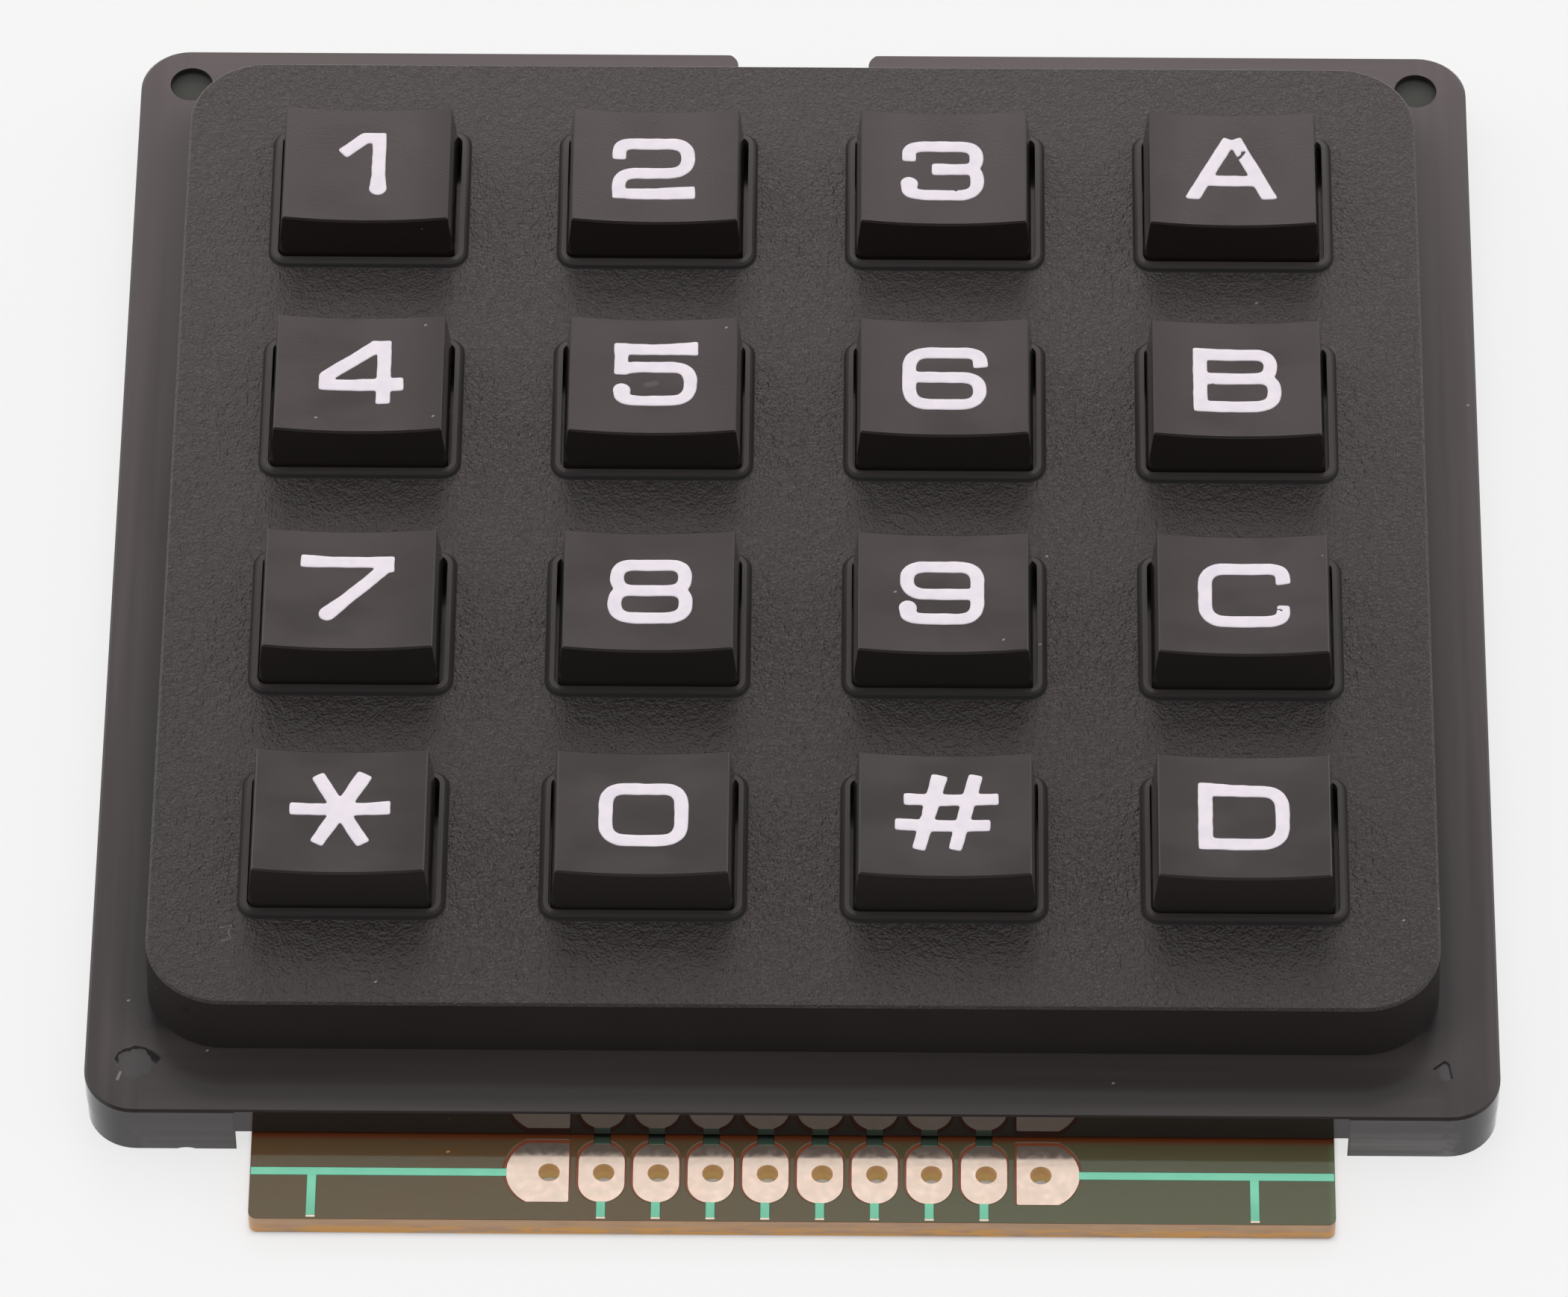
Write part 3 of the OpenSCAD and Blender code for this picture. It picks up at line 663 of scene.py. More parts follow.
def keycap_finish():
    """Satin on top, a little glossier on the sides, with specks and one smudge."""
    f = Finish("keycap_satin")
    cloud = f.noise(2.2 * MM, 3.0, f.stretch(0.5, 1, 1))
    top = f.ramp(cloud, 0.3, 0.7, KEY_ROUGH, KEY_ROUGH + 0.06)
    rough = f.blend(f.facing_up(0.2, 0.8), KEY_SIDE_ROUGH, top)
    fine = f.noise(0.12 * MM, 2.0)
    colour = f.mix(f.ramp(f.y, -22 * MM, 22 * MM), KEY_FRONT_BLACK, KEY_REAR_BLACK)
    colour = f.mix(f.specks(3.1 * MM, 0.05 * MM, 0.06), colour, KEY_SPECK)
    colour = dust(f, colour, KEY_DUST)
    colour = f.mix(f.math("MULTIPLY", f.mark(0.3 * MM, *SMUDGE), 0.5), colour, SMUDGE_GREY)
    return f.finish(Base_Color=colour, Roughness=rough, IOR=PLASTIC_IOR,
                    Normal=f.bump(fine, 0.0012 * MM))


keycap = keycap_finish()
for name in KEY_NAMES:
    paint("key_" + name, keycap)

# %% [markdown]
# The board is paper soaked in phenolic resin: tan all through, with layers that show as orange
# bands where the tongue was cut. Its face shows rusty only in the gaps round the pads. An image of
# a cut edge would have to be wrapped round the board, while noise squashed in height makes layers
# anywhere.

# %% Board
LAYERS_FROM = 0.35 * MM
LAYERS_TO = 0.7 * MM
LAMINATE_PALE = (0.62, 0.385, 0.215)
LAMINATE_TAN = (0.52, 0.31, 0.185)
LAYER_ORANGE = (0.80, 0.40, 0.09)
FACE_RUST = (0.26, 0.06, 0.02)
HOLE_PAINTED_LIGHT_LOW = (1.0, 0.80, 0.38)
HOLE_PAINTED_LIGHT_HIGH = (0.90, 0.63, 0.33)


def board_finish():
    """Tan with orange layers low down; the drilled row's holes get painted light inside, palest low
    down.
    """
    f = Finish("phenolic_paper")
    layers = f.noise(0.3 * MM, 4.0, f.stretch(0.12, 0.12, 1), 0.4, 0.6)
    fibres = f.noise(0.5 * MM, 4.0, f.stretch(0.25, 0.25, 1.6))
    bottom, top = board_low.z + LAYERS_FROM, board_low.z + LAYERS_TO
    orange = f.math("MULTIPLY", f.ramp(layers, 0.42, 0.56), f.ramp(f.z, bottom, top, 1.0, 0.12))
    tan = f.mix(f.ramp(fibres, 0.3, 0.7), LAMINATE_PALE, LAMINATE_TAN)
    tan = f.mix(orange, tan, LAYER_ORANGE)
    drilled = f.between(f.y, board_low.y + 1.9 * MM, board_low.y + 3.4 * MM, 0.05 * MM)
    drilled = f.math("MULTIPLY", drilled, f.ramp(f.aside(), 13 * MM, 14 * MM, 1.0, 0.0))
    # Painted light: the holes' walls are painted bright tan, paler low down, as if lit from the
    # table below.
    tan = f.mix(drilled, tan, f.mix(f.ramp(f.z, bottom, top), HOLE_PAINTED_LIGHT_LOW, HOLE_PAINTED_LIGHT_HIGH))
    colour = f.mix(f.facing_up(0.4, 0.6), tan, FACE_RUST)
    return f.finish(Base_Color=colour, Roughness=0.42, Normal=f.bump(fibres, 0.01 * MM))


paint("board", board_finish())

# %% [markdown]
# The pads are bare copper, slightly clouded by handling. Inside, out of the camera's sight, lie
# the rubber mat, its conductive pills and the carbon print. They get plain but real finishes,
# because the parts can be looked at one by one.

# %% Copper and the parts inside
COPPER_DULL = (0.93, 0.745, 0.62)
COPPER_BRIGHT = (0.96, 0.785, 0.66)
RUBBER_DARK = (0.30, 0.17, 0.08)
RUBBER_LIGHT = (0.36, 0.21, 0.10)
CARBON_DARK = (0.012, 0.012, 0.012)
CARBON_LIGHT = (0.022, 0.022, 0.022)


def copper_finish():
    """Metal whose tint and roughness change in soft clouds."""
    f = Finish("bare_copper")
    colour = f.mix(f.ramp(f.noise(1.3 * MM, 3.0), 0.3, 0.7), COPPER_DULL, COPPER_BRIGHT)
    rough = f.ramp(f.noise(0.4 * MM, 3.0), 0.3, 0.7, 0.12, 0.2)
    return f.finish(Base_Color=colour, Metallic=1.0, Roughness=rough)


def silicone_finish():
    """Tan rubber with a faint skin."""
    f = Finish("silicone_rubber")
    colour = f.mix(f.noise(2 * MM), RUBBER_DARK, RUBBER_LIGHT)
    return f.finish(Base_Color=colour, Roughness=0.5, Normal=f.bump(f.noise(0.3 * MM), 0.002 * MM))


def carbon_finish():
    """Dull black with the grain of a screen print."""
    f = Finish("carbon_print")
    colour = f.mix(f.noise(0.3 * MM), CARBON_DARK, CARBON_LIGHT)
    return f.finish(Base_Color=colour, Roughness=0.6, Normal=f.bump(f.noise(0.1 * MM), 0.002 * MM))


paint("copper_foil", copper_finish())
silicone = silicone_finish()
paint("dome_mat", silicone)
carbon = carbon_finish()
paint("contact_print", carbon)
for name in KEY_NAMES:
    paint("pill_" + name, carbon)

# %% [markdown]
# Ink and lacquer are thin sheets with real edges. A picture on the surface would look flat from
# the side, so each sheet is worked out as a flat net of four-sided cells and then closed: a
# second, lower layer makes the underside, and every edge that only one cell uses gets a narrow
# wall.

# %% Helper for thin sheets
MERGE = 1e-8


def grid_cells(rows, columns, wrap=False):
    """Corner numbers of the cells of a grid of points; wrap joins the last column to the first."""
    i = np.arange(rows - 1)[:, None]
    j = np.arange(columns if wrap else columns - 1)[None, :]
    k = (j + 1) % columns
    here, next_row = i * columns, (i + 1) * columns
    return np.stack([here + j, here + k, next_row + k, next_row + j], -1).reshape(-1, 4)


def merge_points(points, cells):
    """Points closer than a hundredth of a micron in the sheet's plan become one."""
    _, first, where = np.unique((points[:, :2] / MERGE).round().astype(np.int64), axis=0,
                                return_index=True, return_inverse=True)
    return points[first], where.reshape(-1)[cells]


def close_sheet(top, cells, drop):
    """Adds the underside, `drop` below the top, and walls along the rim, which is made of the edges
    whose reverse no cell uses."""
    count = len(top)
    under = top - np.array([0, 0, 1]) * np.reshape(drop, (-1, 1))
    edges = np.concatenate([cells[:, [k, (k + 1) % 4]] for k in range(4)])
    forward = edges[:, 0] * count + edges[:, 1]
    backward = edges[:, 1] * count + edges[:, 0]
    rim = edges[~np.isin(forward, backward)]
    walls = np.stack([rim[:, 1], rim[:, 0], rim[:, 0] + count, rim[:, 1] + count], -1)
    return np.concatenate([top, under]), np.concatenate([cells, cells[:, ::-1] + count, walls])


def place_piece(name, mesh, material, body, smooth=True):
    """Makes the mesh an object at the origin that rides on a CAD body."""
    mesh.polygons.foreach_set("use_smooth", np.full(len(mesh.polygons), smooth))
    mesh.materials.clear()
    mesh.materials.append(material)
    mesh.update()
    piece = bpy.data.objects.new(name, mesh)
    bpy.context.scene.collection.objects.link(piece)
    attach(piece, body)
    print(name, "has", len(mesh.vertices), "points and", len(mesh.polygons), "faces")
    return piece


def make_piece(name, points, cells, material, body, smooth=True):
    """Puts worked-out points and cells into a mesh and places it."""
    mesh = bpy.data.meshes.new(name)
    mesh.from_pydata(points.tolist(), [], cells.tolist())
    return place_piece(name, mesh, material, body, smooth)


# %% [markdown]
# The silicone mat gives way under a pressed key, and a solid can't do that. The mat shown here is
# cut into sixteen tiles, half way between the keys, and each tile rides on the base. The tiles are
# cut from a copy of the CAD mesh, so nothing of its shape has to be redrawn.

# %% Mat tiles
WELD = 1e-6
CUT_SLACK = 1e-7
FAR = 1.0
SHARP = math.radians(35)


def tile_edges(i, middle, pitch):
    """From where to where a tile reaches along one direction; the outer ones keep the mat's rim."""
    return (-FAR if i == 0 else middle - pitch / 2,
            FAR if i == KEYS_ACROSS - 1 else middle + pitch / 2)


def cut_tile(name, left, right, front, rear):
    """The part of the mat between four upright planes, with every cut closed by a face."""
    net = bmesh.new()
    net.from_mesh(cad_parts["dome_mat"].data)
    bmesh.ops.remove_doubles(net, verts=net.verts, dist=WELD)
    for place, outward in (((left, 0, 0), (-1, 0, 0)), ((right, 0, 0), (1, 0, 0)),
                           ((0, front, 0), (0, -1, 0)), ((0, rear, 0), (0, 1, 0))):
        bmesh.ops.bisect_plane(net, geom=[*net.verts, *net.edges, *net.faces], dist=CUT_SLACK,
                               plane_co=place, plane_no=outward, clear_outer=True)
        bmesh.ops.holes_fill(net, edges=[edge for edge in net.edges if edge.is_boundary], sides=0)
    bmesh.ops.triangulate(net, faces=net.faces)
    bmesh.ops.recalc_face_normals(net, faces=net.faces)
    open_edges = sum(not edge.is_manifold for edge in net.edges)
    mesh = bpy.data.meshes.new(name)
    net.to_mesh(mesh)
    net.free()
    print(name, "has", open_edges, "open edges")
    return mesh


pitch = centre("pill_5") - centre("pill_1")
for i, name in enumerate(KEY_NAMES):
    row, column = divmod(i, KEYS_ACROSS)
    middle = centre("pill_" + name)
    mesh = cut_tile("mat_" + name, *tile_edges(column, middle[0], pitch[0]),
                    *tile_edges(KEYS_ACROSS - 1 - row, middle[1], -pitch[1]))
    tile = place_piece("mat_" + name, mesh, silicone, "base")
    mesh.set_sharp_from_angle(angle=SHARP)
    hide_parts("dome_mat")
    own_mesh(tile)

# %% [markdown]
# The legends are white ink in a broad, squarish face. A font would give other shapes, so a letter
# is drawn as a pen would: each stroke is a chain of corners with a rounding and a half width, in
# millimetres from the key's middle. The distance to the nearest stroke, less the half width, is
# zero on the ink's outline.

# %% Legend strokes
ROUND, BUTT = "round", "butt"
PEN = 0.33


def stroke(*corners, start=BUTT, end=BUTT):
    """A stroke through corners (x, y, rounding, half width); the last two may be left out."""
    full = [(*corner, *(0.0, PEN)[len(corner) - 2:]) for corner in corners]
    return {"corners": full, "start": start, "end": end}


LEGENDS = {
    "1": [stroke((-1.25, 0.70), (-0.13, 1.73), (0.87, 1.73)),
          stroke((0.55, 2.05), (0.55, -0.6), (0.56, -1.42, 0, 0.43), end=ROUND)],
    "2": [stroke((-1.77, 0.44), (-1.77, 1.45, 0.85, 0.35), (1.6, 1.45, 0.95, 0.35),
                 (1.6, -0.38, 0.9), (-1.77, -0.42, 0.9, 0.34), (-1.77, -2.03, 0, 0.31)),
          stroke((-2.08, -1.73, 0, 0.30), (1.95, -1.65, 0, 0.40))],
    "3": [stroke((-1.70, 0.42), (-1.70, 1.38, 0.9), (1.60, 1.38, 0.85), (1.60, -0.05, 0.6),
                 (-0.58, -0.05, 0, 0.36)),
          stroke((0.6, -0.05), (1.64, -0.05, 0.7), (1.64, -1.68, 0.9, 0.32),
                 (-1.70, -1.68, 1.0, 0.32), (-1.68, -1.02, 0, 0.43), end=ROUND)],
    "a": [stroke((-0.10, 1.96), (-2.03, -1.95)), stroke((0.14, 1.96), (1.86, -1.95, 0, 0.36)),
          stroke((-1.2, -0.68), (1.3, -0.68))],
    "4": [stroke((1.16, 2.07), (1.16, -1.80, 0, 0.35)), stroke((0.52, 1.74), (1.49, 1.74)),
          stroke((0.72, 1.70, 0, 0.36), (-1.60, -0.14, 0, 0.34), start=ROUND, end=ROUND),
          stroke((-1.63, -0.1, 0, 0.32), (-1.63, -0.98, 0, 0.32)),
          stroke((-1.95, -0.67, 0, 0.31), (2.13, -0.62, 0, 0.40))],
    "5": [stroke((-1.90, 1.64), (0.6, 1.64), (2.14, 1.66, 0, 0.42)),
          stroke((-1.55, 2.0), (-1.55, 0.07)),
          stroke((-1.55, 0.38), (-1.0, 0.55, 0.4), (1.80, 0.55, 0.95), (1.80, -1.50, 0.95, 0.31),
                 (-1.50, -1.50, 0.9, 0.30), (-1.50, -0.90, 0, 0.43), end=ROUND)],
    "6": [stroke((1.74, 0.60, 0, 0.36), (1.66, 1.53, 0.75), (-1.70, 1.53, 1.0),
                 (-1.70, -1.62, 0.95), (1.69, -1.62, 0.9, 0.31), (1.69, 0.03, 0.9),
                 (-1.70, 0.03))],
    "b": [stroke((-1.75, 1.88, 0, 0.34), (-1.75, -1.98, 0, 0.34)),
          stroke((-2.05, 1.52, 0, 0.36), (1.64, 1.50, 0.85), (1.64, 0.05, 0.75),
                 (-1.6, 0.05, 0, 0.35)),
          stroke((0.2, 0.05), (1.81, 0.05, 0.8), (1.81, -1.66, 0.95), (-2.05, -1.66))],
    "7": [stroke((-2.37, 1.68, 0, 0.38), (-0.9, 1.65, 0, 0.32), (2.10, 1.65, 0, 0.32)),
          stroke((1.83, 1.47), (-0.2, -0.62), (-1.02, -1.43, 0, 0.41), end=ROUND),
          stroke((1.80, 1.95, 0, 0.30), (1.80, 1.02, 0, 0.30))],
    "8": [stroke((0.1, 1.58), (1.72, 1.58, 0.85), (1.72, 0.07, 0.75), (-1.52, 0.07, 0.75),
                 (-1.52, 1.58, 0.85), (0.2, 1.58)),
          stroke((0.1, 0.07), (1.77, 0.07, 0.75), (1.77, -1.56, 0.9), (-1.61, -1.56, 0.9),
                 (-1.61, 0.07, 0.75), (0.2, 0.07))],
    "9": [stroke((1.62, -0.05), (-1.73, -0.05, 0.9), (-1.73, 1.57, 0.9), (1.62, 1.57, 0.9),
                 (1.62, -1.52, 0.9, 0.32), (-1.68, -1.52, 1.0), (-1.68, -0.90, 0, 0.43),
                 end=ROUND)],
    "c": [stroke((1.93, 0.62, 0, 0.36), (1.84, 1.55, 0.75), (-1.80, 1.55, 1.0),
                 (-1.80, -1.57, 0.95), (1.88, -1.57, 0.8), (1.92, -0.64, 0, 0.30))],
    "star": [stroke((-2.36, 0.13, 0, 0.35), (0, 0.15, 0, 0.32), (2.34, 0.20, 0, 0.39)),
             stroke((-1.14, 2.12), (1.14, -1.84, 0, 0.34)),
             stroke((1.12, 2.20, 0, 0.39), (-1.08, -1.84))],
    "0": [stroke((0, 1.43), (1.81, 1.43, 0.95), (1.81, -1.54, 0.95), (-1.72, -1.54, 0.95),
                 (-1.72, 1.43, 0.95), (0.1, 1.43))],
    "hash": [stroke((-0.27, 2.33, 0, 0.38), (-1.25, -1.98, 0, 0.31)),
             stroke((1.43, 2.33, 0, 0.34), (0.44, -1.98, 0, 0.31)),
             stroke((-1.95, 0.91), (2.48, 0.90)), stroke((-2.36, -0.56), (2.10, -0.60))],
    "d": [stroke((-1.82, 1.95, 0, 0.34), (-1.82, -1.88, 0, 0.34)),
          stroke((-2.12, 1.58, 0, 0.39), (-0.2, 1.54, 0, 0.33), (1.79, 1.48, 1.0),
                 (1.79, -1.54, 1.05), (-2.12, -1.55))],
}
print(len(LEGENDS), "legends in", sum(len(strokes) for strokes in LEGENDS.values()), "strokes")

# %% [markdown]
# Some outlines differ from plain strokes: the feet of the A are cut level, and a few legends miss
# a chip of ink. A chip is a short, thin stroke that is taken out of the white ones.

# %% Legend trims and chips
TRIM_LOW = {"a": -1.87}
CHIPS = {
    "a": [stroke((0.62, 1.15, 0, 0.05), (0.36, 0.78, 0, 0.08), start=ROUND, end=ROUND),
          stroke((0.62, 1.15, 0, 0.05), (0.42, 1.12, 0, 0.03), start=ROUND, end=ROUND)],
    "c": [stroke((1.68, -0.86, 0, 0.05), (1.83, -0.93, 0, 0.06), start=ROUND, end=ROUND)],
    "3": [stroke((0.6, -1.40, 0, 0.05), (0.58, -1.34, 0, 0.07), start=ROUND, end=ROUND)],
    "b": [stroke((-1.42, 0.05, 0, 0.03), (-1.12, -0.22, 0, 0.04), start=ROUND, end=ROUND)],
    "hash": [stroke((-1.12, 0.28, 0, 0.03), (-1.16, 0.0, 0, 0.05), start=ROUND, end=ROUND)],
    "6": [stroke((-1.5, -0.78, 0, 0.02), (-1.52, -1.1, 0, 0.035), start=ROUND, end=ROUND)],
}
print("chipped legends:", ", ".join(CHIPS))

# %% [markdown]
# The outlines are never drawn. A grid over the key holds, at each point, the distance to the ink's
# edge, and a stroke, a chip or a cut only changes these numbers, so joints need no care at all.

# %% Legend outlines
CURVE_STEPS = 10
WAVER = 0.012


def walk(corners):
    """Points (x, y, half width) along a stroke. A curve leaves one leg a rounding before an inner
    corner C and joins the next leg a rounding after it: P = (1-t)^2 A + 2t(1-t) C + t^2 B."""
    points = [(c[0], c[1], c[3]) for c in corners]
    path = [points[0]]
    for before, here, after, corner in zip(points, points[1:], points[2:], corners[1:]):
        here, before, after = np.array(here), np.array(before), np.array(after)
        legs = [np.linalg.norm((end - here)[:2]) for end in (before, after)]
        if corner[2] == 0:
            path.append(tuple(here))
            continue
        a, b = [here + (end - here) * min(corner[2] / leg, 0.5)
                for end, leg in zip((before, after), legs)]
        t = np.linspace(0, 1, CURVE_STEPS)[:, None]
        path.extend(map(tuple, (1 - t) ** 2 * a + 2 * t * (1 - t) * here + t ** 2 * b))
    return np.array(path + [points[-1]])


def stroke_distance(x, y, one):
    """Distance from every grid point to a stroke's edge; a butt end is cut square across."""
    path = walk(one["corners"])
    nearest = np.full(x.shape, np.inf)
    last = len(path) - 2
    for k, (a, b) in enumerate(zip(path, path[1:])):
        run = b[:2] - a[:2]
        length = np.linalg.norm(run)
        if length == 0:
            continue
        run = run / length
        along = (x - a[0]) * run[0] + (y - a[1]) * run[1]
        t = np.clip(along / length, 0, 1)
        away = np.hypot(x - a[0] - t * length * run[0], y - a[1] - t * length * run[1])
        away = away - (a[2] + t * (b[2] - a[2]))
        if k == 0 and one["start"] == BUTT:
            away = np.maximum(away, -along)
        if k == last and one["end"] == BUTT:
            away = np.maximum(away, along - length)
        nearest = np.minimum(nearest, away)
    return nearest


def soften(field):
    """Each value becomes the mean of its neighbourhood, which rounds the outline's corners."""
    for axis in (0, 1):
        field = (np.roll(field, 1, axis) + 2 * field + np.roll(field, -1, axis)) / 4
    return field


def ink_field(name, x, y):
    """Below zero where there is ink: strokes, less chips and trims, with a slightly uneven edge."""
    field = np.min([stroke_distance(x, y, one) for one in LEGENDS[name]], axis=0)
    if name in TRIM_LOW:
        field = np.maximum(field, TRIM_LOW[name] - y)
    field = soften(soften(field))
    for one in CHIPS.get(name, []):
        field = np.maximum(field, -stroke_distance(x, y, one))
    shift = KEY_NAMES.index(name)
    waver = np.sin(3.1 * x + 1.7 * y + shift) * np.sin(2.3 * y - 1.1 * x + 2 * shift)
    waver = waver + 0.5 * np.sin(7.3 * x + shift) * np.sin(8.9 * y + 1.3 * shift)
    return soften(field) + WAVER * waver


# %% [markdown]
# Printed ink follows the dish of the key and stands a little proud of it, rounded at its edges.
# The net is laid flat first, each point then gets the dish's height at its place, and the ink's
# underside dips below the plastic, so that no gap can show.

# %% Legends
INK_CELL = 0.05
INK_THICK = 0.016 * MM
INK_LIFT = 0.014 * MM
INK_SINK = 0.02 * MM
INK_REACH = 2.9
INK_WHITE = (0.905, 0.855, 0.91)
INK_GREY = (0.85, 0.80, 0.875)


def legend_net(name):
    """Keeps the cells that are mostly ink, then slides the points on their rim onto the outline,
    along the slope of the distance field, so a coarse grid still gives a smooth edge."""
    line = np.arange(-INK_REACH, INK_REACH, INK_CELL)
    y, x = np.meshgrid(line, line, indexing="ij")
    field = ink_field(name, x, y)
    cells = grid_cells(len(line), len(line))
    flat = field.reshape(-1)
    cells = cells[flat[cells].mean(1) < 0]
    uses = np.bincount(cells.reshape(-1), minlength=flat.size)
    slope_y, slope_x = np.gradient(field, INK_CELL)
    steep = np.maximum(slope_x ** 2 + slope_y ** 2, 0.25)
    move = np.where(((uses > 0) & (uses < 4)).reshape(field.shape), field / steep, 0)
    x = x - np.clip(move * slope_x, -INK_CELL, INK_CELL)
    y = y - np.clip(move * slope_y, -INK_CELL, INK_CELL)
    keep = uses > 0
    number = np.cumsum(keep) - 1
    depth = np.clip(-flat / (2 * INK_CELL), 0, 1)
    return x.reshape(-1)[keep], y.reshape(-1)[keep], depth[keep], number[cells]


def dish_height(x):
    """Height of a keycap's top at x from its middle: a circle's arc, lowest in the middle."""
    return key_top - DISH_DEPTH + DISH_RADIUS - np.sqrt(DISH_RADIUS ** 2 - x ** 2)


def ink_finish():
    """White with thinner, greyer patches."""
    f = Finish("white_ink")
    patch = f.noise(0.7 * MM, 3.0)
    colour = f.mix(f.ramp(patch, 0.35, 0.7), INK_WHITE, INK_GREY)
    fine = f.noise(0.15 * MM)
    return f.finish(Base_Color=colour, Roughness=0.45, Normal=f.bump(fine, 0.003 * MM))


ink = ink_finish()
for name in KEY_NAMES:
    x, y, depth, cells = legend_net(name)
    middle = centre("key_" + name)
    x, y = x * MM, y * MM
    z = dish_height(x) + INK_LIFT + INK_THICK * np.sqrt(depth)
    top = np.stack([x + middle[0], y + middle[1], z], -1)
    points, cells = close_sheet(top, cells, INK_LIFT + INK_SINK)
    make_piece("legend_" + name, points, cells, ink, f"key_{name}_body")

# %% [markdown]
# Solder mask is a clear green lacquer. Over brown laminate it looks olive, over copper it shines
# teal. One flat sheet covers the tongue and leaves a window round every pad. The windows could be
# cut out of a plain sheet, which leaves long splinters of faces. Here each window is joined to the
# straight sides of its own stretch of board by rays from the pad's middle, which keeps them even.

# %% Mask sheet sizes
PADS = 10
PAD_PITCH = 2.54 * MM
PAD_LENGTH = 3.3 * MM
PAD_GAP = 0.4 * MM
PAD_WIDTH = PAD_PITCH - PAD_GAP
END_PAD_RADIUS = 1.9 * MM
END_PAD_SIDE = 1.02 * MM
TRACK_WIDTH = 0.42 * MM
SIGNAL_WIDTH = 0.75 * MM
BRANCHES = (-22.28 * MM, 21.52 * MM)
WINDOW_GAP = 0.10 * MM
WINDOW_SHIFT = (-0.025 * MM, 0.1 * MM)
MASK_THICK = 0.02 * MM
MASK_EDGE = 0.04 * MM
MASK_BORDER = 0.012 * MM
TONGUE_LEFT = -25.17 * MM
TONGUE_RIGHT = 25.27 * MM
TONGUE_CORNER = 0.4 * MM
SIGNAL_LENGTH = 6 * MM
PADS_MIDDLE = 0.07 * MM
MASK_UNDER_WALL = 0.9 * MM
pad_line = foil_high.y - SIGNAL_LENGTH
pad_places = [PADS_MIDDLE + (i - (PADS - 1) / 2) * PAD_PITCH for i in range(PADS)]
mask_front = tongue_front + MASK_BORDER
mask_back = wall_front + MASK_UNDER_WALL
mask_z = board_top + MASK_THICK
print("pads in mm:", [round(p / MM, 2) for p in pad_places])

# %% [markdown]
# Two outlines are needed. A pad's is given as a distance for each direction from its middle, and
# the border of its stretch of board as points along straight sides and one round corner.

# %% Mask outlines
TINY = 1e-9
INNER_COUNTS = (24, 48, 24, 48)
OUTER_COUNTS = (140, 48, 140, 48)
BEND_STEPS = 8


def pad_reach(c, s, end):
    """How far a pad's outline lies from its middle along the direction (c, s). An inner pad is a
    stadium; an end pad is a circle cut off at front, rear and on its inner side."""
    if end == 0:
        half, straight = PAD_WIDTH / 2, (PAD_LENGTH - PAD_WIDTH) / 2
        side = half / np.maximum(np.abs(c), TINY)
        cap = straight * np.abs(s) + np.sqrt(np.maximum(half ** 2 - (straight * c) ** 2, 0))
        return np.where(side * np.abs(s) <= straight, side, cap)
    level = PAD_LENGTH / 2 / np.maximum(np.abs(s), TINY)
    inner = np.where(-end * c > 0, END_PAD_SIDE / np.maximum(-end * c, TINY), 1 / TINY)
    return np.minimum(np.minimum(level, inner), END_PAD_RADIUS)


def side_points(a, b, count):
    """Evenly spaced points from a up to, but without, b."""
    t = np.arange(count)[:, None] / count
    return np.array(a) * (1 - t) + np.array(b) * t


def stretch_outline(left, right, end):
    """The border of one pad's stretch of board, anticlockwise; the tongue's corners are rounded."""
    if end == 0:
        corners = [(left, mask_front), (right, mask_front), (right, mask_back), (left, mask_back)]
        return np.concatenate([side_points(a, b, n) for a, b, n in
                               zip(corners, corners[1:] + corners[:1], INNER_COUNTS)])
    r = TONGUE_CORNER - MASK_BORDER
    turn_from, outer = (np.pi, left) if end < 0 else (1.5 * np.pi, right)
    angle = turn_from + np.linspace(0, np.pi / 2, BEND_STEPS + 1)[:-1]
    bend = np.stack([outer - end * r + r * np.cos(angle), mask_front + r + r * np.sin(angle)], -1)
    cut_left, cut_right = (r, 0) if end < 0 else (0, r)
    sides = [((left + cut_left, mask_front), (right - cut_right, mask_front)),
             ((right, mask_front + cut_right), (right, mask_back)),
             ((right, mask_back), (left, mask_back)),
             ((left, mask_back), (left, mask_front + cut_left))]
    front, *others = [side_points(a, b, n) for (a, b), n in zip(sides, OUTER_COUNTS)]
    first = [bend, front] if end < 0 else [front, bend]
    return np.concatenate(first + others)


# %% [markdown]
# The lacquer could be a see-through layer over the laminate, but light takes very long to find its
# way through something so thin. It is opaque here, in the colour of the laminate under it, with a
# green tint in its reflections.

# %% Mask sheet
LAMINATE_RED = (0.138, 0.072, 0.028)
LAMINATE_BROWN = (0.126, 0.074, 0.032)
LAMINATE_OLIVE = (0.108, 0.090, 0.042)
RIM_GREEN = (0.13, 0.22, 0.10)
MASK_SPECK = (0.4, 0.36, 0.28)
WALL_PAINTED_SHADE = (0.16, 0.042, 0.014)
FLECK_ORANGE = (0.7, 0.3, 0.08)
MASK_FLECK = [(-15.99, -33.26)]
MASK_TINT = (0.72, 1.0, 0.92)


